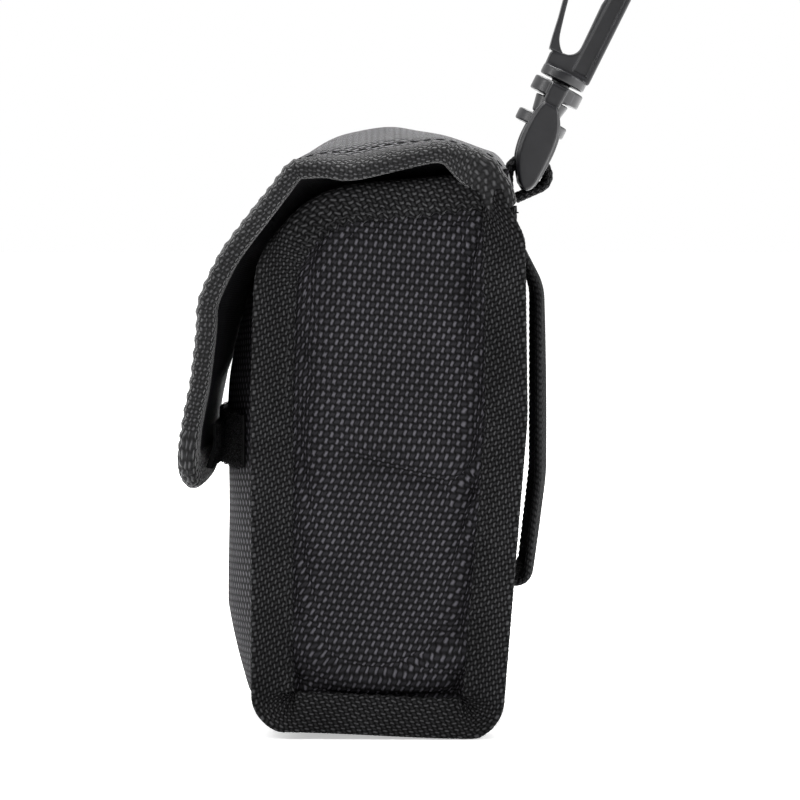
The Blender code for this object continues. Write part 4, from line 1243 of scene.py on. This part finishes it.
def build_belt_loop(finishes):
    near, far = 1.4, 5.7
    turn = back_face(31.0) + near
    flat = back_face(71.2) + far
    path = rounded([
        (back_face(45) + near, 45.0, 0), (turn, 31.8, 2.3), (turn + 4.9, 31.8, 2.3),
        (flat, 56.0, 40), (flat, 99.0, 12), (back_face(109.8) + near, 109.8, 0),
    ], 0.4)
    piece = tube("belt_webbing", band_loops(path, 2 * BELT_HALF - 0.9, 2.1, rib=0.22, bow=1.5),
                 finishes["webbing"])
    settle(piece, "pouch", "webbing", "belt_loop")
    lines = []
    for z in (103.5, 107.6):
        y = float(np.interp(z, path[:, 1][path[:, 1] > 99], path[:, 0][path[:, 1] > 99])) + 0.95
        lines.append([(x, y, z) for x in np.linspace(-17, 17, 40)])
    ends = ((-17, 107.6), (17, 103.5)), ((-17, 103.5), (17, 107.6))
    for (x0, z0), (x1, z1) in ends:
        points = []
        for share in np.linspace(0, 1, 40):
            z = z0 + (z1 - z0) * share
            y = float(np.interp(z, path[:, 1][path[:, 1] > 99], path[:, 0][path[:, 1] > 99])) + 0.95
            points.append((x0 + (x1 - x0) * share, y, z))
        lines.append(points)
    settle(stitched("belt_stitches", lines, finishes["thread"], 2.4, 1.8), "pouch", "webbing")


def build_hanging_loop(finishes):
    low, high = box("hanging_tab")
    middle = (low.y + high.y) / 2
    tab = tube("hanging_tab_webbing",
               band_loops([(middle, low.z), (middle, high.z)], 2 * HANG_HALF - 0.7, high.y - low.y - 0.3,
                          rib=0.1), finishes["webbing"])
    settle(tab, "pouch", "webbing", "hanging_tab")
    lines = [[(x, high.y + 0.1, z) for x in np.linspace(-4, 4, 12)] for z in (low.z + 1.6, high.z - 1.6)]
    settle(stitched("tab_stitches", lines, finishes["thread"], 1.9, 1.4), "pouch", "webbing")
    foot = box("hanging_loop")[0]
    first = foot.y + 0.9
    centre, radius = (32.3, 124.2), 4.6
    path = rounded([
        (first, foot.z + 0.2, 0), (centre[0] - radius, centre[1] - 1.5, 2.0),
        (centre[0] - radius, centre[1] + radius, radius - 0.2),
        (centre[0] + radius, centre[1] + radius, radius - 0.2),
        (centre[0] + radius, centre[1] - 1.5, 3.0), (first + 1.5, foot.z + 0.2, 0),
    ], 0.3)
    loop = tube("hanging_loop_webbing", band_loops(path, 2 * HANG_HALF - 0.7, 2.1, rib=0.4, step=0.22),
                finishes["webbing"])
    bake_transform(loop)
    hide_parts("hanging_loop")


# Moulded hardware, in the tilted frame of the eye's bar: X as the world's, Y out of the back,
# Z up the swivel axis

AXIS = -2.55                    # the swivel axis from the bar, in Y
BAR_FRAME = Matrix.Translation((0, EYE_BAR[0], EYE_BAR[1])) @ Matrix.Rotation(-radians(TILT), 4, "X")
DISC = (11.7, 14.5)
COLLAR = (19.5, 22.9)
FLANGE = (23.7, 26.1)


def solid(outline_or_radius, low, high, centre=(0, 0), turn=None, edge=0.4, segments=64, taper=None):
    """A bevelled upright cylinder, or a prism of an outline, in the bar's frame."""
    bm = bmesh.new()
    if isinstance(outline_or_radius, (int, float)):
        top = outline_or_radius if taper is None else taper
        bmesh.ops.create_cone(bm, cap_ends=True, segments=segments, radius1=outline_or_radius,
                              radius2=top, depth=high - low,
                              matrix=Matrix.Translation((*centre, (low + high) / 2)))
    else:
        base = [bm.verts.new((low, y, z)) for y, z in outline_or_radius]
        face = bm.faces.new(base)
        grown = bmesh.ops.extrude_face_region(bm, geom=[face])
        moved = [v for v in grown["geom"] if isinstance(v, bmesh.types.BMVert)]
        bmesh.ops.translate(bm, verts=moved, vec=(high - low, 0, 0))
    bmesh.ops.recalc_face_normals(bm, faces=bm.faces)
    if turn is not None:
        bmesh.ops.transform(bm, matrix=turn, verts=bm.verts)
    rims = [e for e in bm.edges if len(e.link_faces) == 2 and e.calc_face_angle() > radians(35)]
    if edge:
        bmesh.ops.bevel(bm, geom=rims, offset=edge, segments=3, profile=0.5, affect="EDGES",
                        clamp_overlap=True)
    bmesh.ops.triangulate(bm, faces=bm.faces)
    return bm


def moulding(name, shapes, cuts, finishes, voxel, smooth=5):
    """Shapes fused on a fine grid, with cuts taken out, then eased as a moulding's edges are."""
    def as_object(bm, label):
        bmesh.ops.transform(bm, matrix=Matrix.Scale(MM, 4) @ BAR_FRAME, verts=bm.verts)
        mesh = bpy.data.meshes.new(label)
        bm.to_mesh(mesh)
        bm.free()
        return link(label, mesh)

    parts = [as_object(shape, f"{name}_part") for shape in shapes]
    joined = bmesh.new()
    for part in parts:
        joined.from_mesh(part.data)
        bpy.data.objects.remove(part, do_unlink=True)
    mesh = bpy.data.meshes.new(name)
    joined.to_mesh(mesh)
    joined.free()
    body = link(f"{name}_raw", mesh)
    grid = body.modifiers.new("fuse", "REMESH")
    grid.mode = "VOXEL"
    grid.voxel_size = voxel * MM
    tools = []
    for cut in cuts:
        tool = as_object(cut, f"{name}_cut")
        tool.hide_render = True
        step = body.modifiers.new("cut", "BOOLEAN")
        step.operation = "DIFFERENCE"
        step.object = tool
        tools.append(tool)
    if cuts:
        again = body.modifiers.new("refuse", "REMESH")
        again.mode = "VOXEL"
        again.voxel_size = voxel * MM
    ease = body.modifiers.new("ease", "SMOOTH")
    ease.iterations = smooth
    ease.factor = 0.5
    piece = evaluated(body, name, finishes["plastic"])
    for tool in tools:
        bpy.data.objects.remove(tool, do_unlink=True)
    piece.data.shade_smooth()
    return piece


LEAF = [
    # height, centre and half width of the eye's leaf-shaped limb
    (-2.6, 0.9, 0.3), (-1.6, 0.6, 1.5), (-0.2, 0.25, 2.4), (1.8, -0.3, 3.2), (4.0, -0.8, 3.85),
    (6.5, -1.1, 4.2), (8.9, -1.3, 4.3), (11.6, -1.5, 4.1), (14.2, -1.9, 3.5), (16.2, -2.3, 2.7),
    (17.6, -2.5, 1.9),
]


def leaf(scale=1.0, shift=0.0):
    """The limb's outline, with its foot and shoulder rounded by a smooth line."""
    rows = smooth_line(LEAF, 0.8)
    right = [(middle + half * scale + shift, height) for height, middle, half in rows]
    left = [(middle - half * scale + shift, height) for height, middle, half in rows[::-1]]
    return right + left


def build_eye(finishes):
    inner, outer = 5.6, 8.3
    shapes, cuts = [], []
    for side in (-1, 1):
        span = sorted((side * inner, side * (outer - 0.35)))
        shapes.append(solid(leaf(), *span, edge=0.3))
        face = sorted((side * (inner + 1), side * (outer + 0.3)))
        shapes.append(solid(leaf(0.84), *face, edge=0.4))
        neck = [(AXIS - 1.9, 13.5), (AXIS + 1.9, 13.5), (AXIS + 2.0, 18), (AXIS + 2.15, 22.6),
                (AXIS - 2.15, 22.6), (AXIS - 2.0, 18)]
        neck_span = sorted((side * 4.6, side * 7.1))
        shapes.append(solid(neck, *neck_span, edge=0.45))
    bar_turn = Matrix.Rotation(pi / 2, 4, "Y")
    shapes.append(solid(1.9, -7, 7, turn=bar_turn, edge=0))
    for low, high in (DISC, COLLAR):
        shapes.append(solid(6.07, low, high, (0, AXIS), edge=0.35, segments=96))
    cuts.append(solid(2.7, 18.0, 24.5, (0, AXIS), edge=0))
    voxel = bpy.context.scene.pouch_hardware.voxel
    piece = moulding("eye_moulding", shapes, cuts, finishes, voxel)
    settle(piece, "swivel_eye", "plastic", "swivel_eye")


def arc(centre, radius, first, last, steps):
    angles = np.radians(np.linspace(first, last, steps + 1))
    return [(centre[0] + radius * cos(a), centre[1] + radius * sin(a)) for a in angles]


HOOK_TOP = FLANGE[1]
HOOK_BACK, HOOK_OUTER, HOOK_INNER, HOOK_RISE = 5.9, 10.2, 6.0, 27.5
SPINE = 5.4


def hook_outline(grow=0.0):
    """Base, spine, crown and nose of the snap hook, from the swivel axis and over the flange."""
    crown = (HOOK_BACK - HOOK_OUTER, HOOK_RISE)
    out, inside = HOOK_OUTER + grow, HOOK_INNER - grow
    nose_out, nose_in = crown[0] - out, crown[0] - inside
    slot = HOOK_BACK - SPINE - grow
    points = [(-5.3 - grow, -0.5), (HOOK_BACK + grow, -0.5)]
    points += arc(crown, out, 0, 180, 40)
    points += [(nose_out + 0.3, HOOK_RISE - 2.2), (nose_out + 1.6, HOOK_RISE - 3.2),
               (nose_in - 0.8, HOOK_RISE - 2.6), (nose_in, HOOK_RISE - 1.2)]
    points += arc(crown, inside, 180, 0, 30)
    points += [(slot - 0.2, 18.0), (slot, 8.0)]
    points += arc((slot - 3.1, 6.9), 3.1 + grow, 0, -90, 10)
    points += [(-4.0 - grow, 3.4), (-5.5 - grow, 3.0)]
    return [(y + AXIS, z + HOOK_TOP) for y, z in points]


def build_hook(finishes):
    low, high = FLANGE
    shapes = [
        solid(hook_outline(), -2.75, 2.75, edge=0.42),
        solid(5.5, low, high, (0, AXIS), edge=0.35, segments=96),
        solid(2.3, 15.8, low + 0.5, (0, AXIS), edge=0),
        solid(3.3, 15.1, 19.1, (0, AXIS), edge=0.25, taper=4.1),
    ]
    groove = [(AXIS + 1.0, HOOK_TOP + 1.0), (AXIS + 4.7, HOOK_TOP + 1.0), (AXIS + 4.7, HOOK_TOP + 26.0),
              (AXIS + 1.6, HOOK_TOP + 26.0)]
    cuts = [solid(groove, 1.9, 4.0, edge=0), solid(groove, -4.0, -1.9, edge=0)]
    voxel = bpy.context.scene.pouch_hardware.voxel
    piece = moulding("hook_moulding", shapes, cuts, finishes, voxel, smooth=4)
    settle(piece, "snap_hook", "plastic", "snap_hook")


def build_gate(finishes):
    """The springy tongue that closes the hook, thinner at its tip."""
    low, high = 3.25, HOOK_RISE - 0.6
    root = -HOOK_BACK + 1.1
    tip = HOOK_BACK - HOOK_OUTER - HOOK_INNER + 1.0
    heights = np.linspace(low, high, 40)
    share = (heights - 3.0) / (HOOK_RISE - 3.0)
    middle = root + (tip - root) * (1 - np.maximum(0, 1 - share) ** 1.5)
    thick = 0.66 - 0.14 * share
    foot = 2.9 * (1 - np.sqrt(np.clip(1 - (1 - np.clip((heights - low) / 4.2, 0, 1)) ** 2, 0, 1)))
    wide = 0.5 * smoothstep(12, low, heights)
    front = [(m - t - w + AXIS, h + HOOK_TOP) for m, t, w, h in zip(middle, thick, wide, heights)]
    rear = [(m + t + f + AXIS, h + HOOK_TOP) for m, t, f, h in zip(middle, thick, foot, heights)]
    shape = solid(front + rear[::-1], -2.45, 2.45, edge=0.2)
    piece = moulding("gate_moulding", [shape], [], finishes, 0.15, smooth=3)
    settle(piece, "hook_gate", "plastic", "hook_gate")


# Stage

def lamp(name, place, target, size, energy, colour=(1, 1, 1)):
    light = bpy.data.lights.new(name, "AREA")
    light.shape = "RECTANGLE"
    light.size, light.size_y = size
    light.energy = energy
    light.color = colour
    item = bpy.data.objects.new(name, light)
    item.location = place
    item.rotation_mode = "QUATERNION"
    item.rotation_quaternion = (Vector(target) - Vector(place)).to_track_quat("-Z", "Y")
    bpy.context.scene.collection.objects.link(item)


def build_camera():
    """A long lens at the side of the pouch, a little above its middle."""
    distance, elevation = 0.750, radians(3.5)
    target = Vector((0.046, 0.00264, 0.0752))
    camera = bpy.data.cameras.new("side_view")
    camera.sensor_width = 36.0
    camera.lens = 36.0 * 750 / 176
    camera.clip_start, camera.clip_end = 0.05, 20
    item = bpy.data.objects.new("side_view", camera)
    item.location = target + Vector((cos(elevation), 0, sin(elevation))) * distance
    item.rotation_mode = "QUATERNION"
    item.rotation_quaternion = (target - item.location).to_track_quat("-Z", "Y")
    bpy.context.scene.collection.objects.link(item)
    bpy.context.scene.camera = item


def build_stage():
    bm = bmesh.new()
    bmesh.ops.create_circle(bm, cap_ends=True, segments=96, radius=6.0)
    mesh = bpy.data.meshes.new("floor")
    bm.to_mesh(mesh)
    bm.free()
    paper = bpy.data.materials.new("white_paper")
    paper.use_nodes = True
    shader = paper.node_tree.nodes["Principled BSDF"]
    shader.inputs["Base Color"].default_value = (0.9, 0.9, 0.9, 1)
    shader.inputs["Roughness"].default_value = 0.9
    shader.inputs["Specular IOR Level"].default_value = 0.1
    shader.inputs["Emission Color"].default_value = (1, 1, 1, 1)
    shader.inputs["Emission Strength"].default_value = 0.45
    floor = link("floor", mesh, paper)
    floor.location.z = -0.0002
    world = bpy.data.worlds.new("white_room")
    world.use_nodes = True
    nodes, links = world.node_tree.nodes, world.node_tree.links
    place, parts = nodes.new("ShaderNodeTexCoord"), nodes.new("ShaderNodeSeparateXYZ")
    strength = nodes.new("ShaderNodeMapRange")
    strength.inputs["From Min"].default_value, strength.inputs["From Max"].default_value = -0.1, 0.65
    strength.inputs["To Min"].default_value, strength.inputs["To Max"].default_value = 1.0, 0.28
    background = nodes["Background"]
    background.inputs[0].default_value = (1.0, 1.0, 1.0, 1)
    links.new(place.outputs["Generated"], parts.inputs[0])
    links.new(parts.outputs[0], strength.inputs[0])
    links.new(strength.outputs[0], background.inputs[1])
    bpy.context.scene.world = world
    middle = (0, 0, 0.07)
    lamp("key", (0.75, -0.55, 1.0), middle, (0.5, 0.5), 6)
    lamp("top", (-0.35, 0.0, 1.2), middle, (0.7, 0.7), 26)
    lamp("left_strip", (0.3, -0.95, 0.4), (0, 0, 0.12), (0.25, 0.8), 4)
    lamp("right_strip", (0.3, 0.95, 0.4), (0, 0, 0.12), (0.25, 0.8), 6)
    bpy.context.scene.view_settings.view_transform = "Standard"
    build_camera()


# Add-on: an operator for each group of pieces

FINISHES = {}


def finishes():
    if not FINISHES:
        FINISHES.update(make_finishes())
    return FINISHES


class POUCH_OT_stage(bpy.types.Operator):
    """Add the floor, the studio light and the camera"""
    bl_idname = "pouch.stage"
    bl_label = "Stage"

    def execute(self, context):
        build_stage()
        return {"FINISHED"}


class POUCH_OT_walls(bpy.types.Operator):
    """Add the padded strip that wraps the back, bottom and front, and its lining"""
    bl_idname = "pouch.walls"
    bl_label = "Wrap-round walls"

    def execute(self, context):
        build_walls(finishes())
        return {"FINISHED"}


class POUCH_OT_side_walls(bpy.types.Operator):
    """Add the two padded side walls and their linings"""
    bl_idname = "pouch.side_walls"
    bl_label = "Side walls"

    def execute(self, context):
        build_side_panels(finishes())
        return {"FINISHED"}


class POUCH_OT_edge_tapes(bpy.types.Operator):
    """Add the binding tapes along the seams and the mouth"""
    bl_idname = "pouch.edge_tapes"
    bl_label = "Edge tapes"

    def execute(self, context):
        build_edge_tapes(finishes())
        build_front_rim(finishes())
        return {"FINISHED"}


class POUCH_OT_flap(bpy.types.Operator):
    """Add the padded flap and its rolled edge"""
    bl_idname = "pouch.flap"
    bl_label = "Flap"

    def execute(self, context):
        build_flap(finishes())
        build_flap_edge(finishes())
        return {"FINISHED"}


class POUCH_OT_closure(bpy.types.Operator):
    """Add the hook and loop tapes with their filaments"""
    bl_idname = "pouch.closure"
    bl_label = "Closure"

    def execute(self, context):
        build_closure(finishes())
        return {"FINISHED"}


class POUCH_OT_webbing(bpy.types.Operator):
    """Add the belt loop, the hanging tab and the hanging loop"""
    bl_idname = "pouch.webbing"
    bl_label = "Webbing"

    def execute(self, context):
        build_belt_loop(finishes())
        build_hanging_loop(finishes())
        return {"FINISHED"}


class POUCH_OT_hardware(bpy.types.Operator):
    """Add the swivel eye, the snap hook and its gate"""
    bl_idname = "pouch.hardware"
    bl_label = "Eye and snap hook"

    def execute(self, context):
        build_eye(finishes())
        build_hook(finishes())
        build_gate(finishes())
        return {"FINISHED"}


class POUCH_OT_stitches(bpy.types.Operator):
    """Add the rows of stitches"""
    bl_idname = "pouch.stitches"
    bl_label = "Stitches"

    def execute(self, context):
        build_stitches(finishes())
        return {"FINISHED"}


class POUCH_PT_panel(bpy.types.Panel):
    """Lists the pouch's sizes and the steps that build it"""
    bl_label = "Pouch"
    bl_idname = "POUCH_PT_panel"
    bl_space_type = "VIEW_3D"
    bl_region_type = "UI"
    bl_category = "Pouch"

    def draw(self, context):
        layout = self.layout
        for group in (context.scene.pouch_cloth, context.scene.pouch_padding,
                      context.scene.pouch_hardware):
            block = layout.box()
            for name in group.__annotations__:
                block.prop(group, name)
        for operator in OPERATORS:
            layout.operator(operator.bl_idname)


OPERATORS = (POUCH_OT_stage, POUCH_OT_walls, POUCH_OT_side_walls, POUCH_OT_edge_tapes,
             POUCH_OT_flap, POUCH_OT_closure, POUCH_OT_webbing, POUCH_OT_hardware,
             POUCH_OT_stitches)
GROUPS = (("pouch_cloth", PouchCloth), ("pouch_padding", PouchPadding),
          ("pouch_hardware", PouchHardware))


def register():
    for name, group in GROUPS:
        bpy.utils.register_class(group)
        setattr(bpy.types.Scene, name, PointerProperty(type=group))
    for operator in OPERATORS:
        bpy.utils.register_class(operator)
    bpy.utils.register_class(POUCH_PT_panel)


def unregister():
    bpy.utils.unregister_class(POUCH_PT_panel)
    for operator in reversed(OPERATORS):
        bpy.utils.unregister_class(operator)
    for name, group in reversed(GROUPS):
        delattr(bpy.types.Scene, name)
        bpy.utils.unregister_class(group)


def main():
    register()
    bpy.ops.pouch.stage()
    bpy.ops.pouch.walls()
    bpy.ops.pouch.side_walls()
    bpy.ops.pouch.edge_tapes()
    bpy.ops.pouch.flap()
    bpy.ops.pouch.closure()
    bpy.ops.pouch.webbing()
    bpy.ops.pouch.hardware()
    bpy.ops.pouch.stitches()


if __name__ == "__main__":
    main()
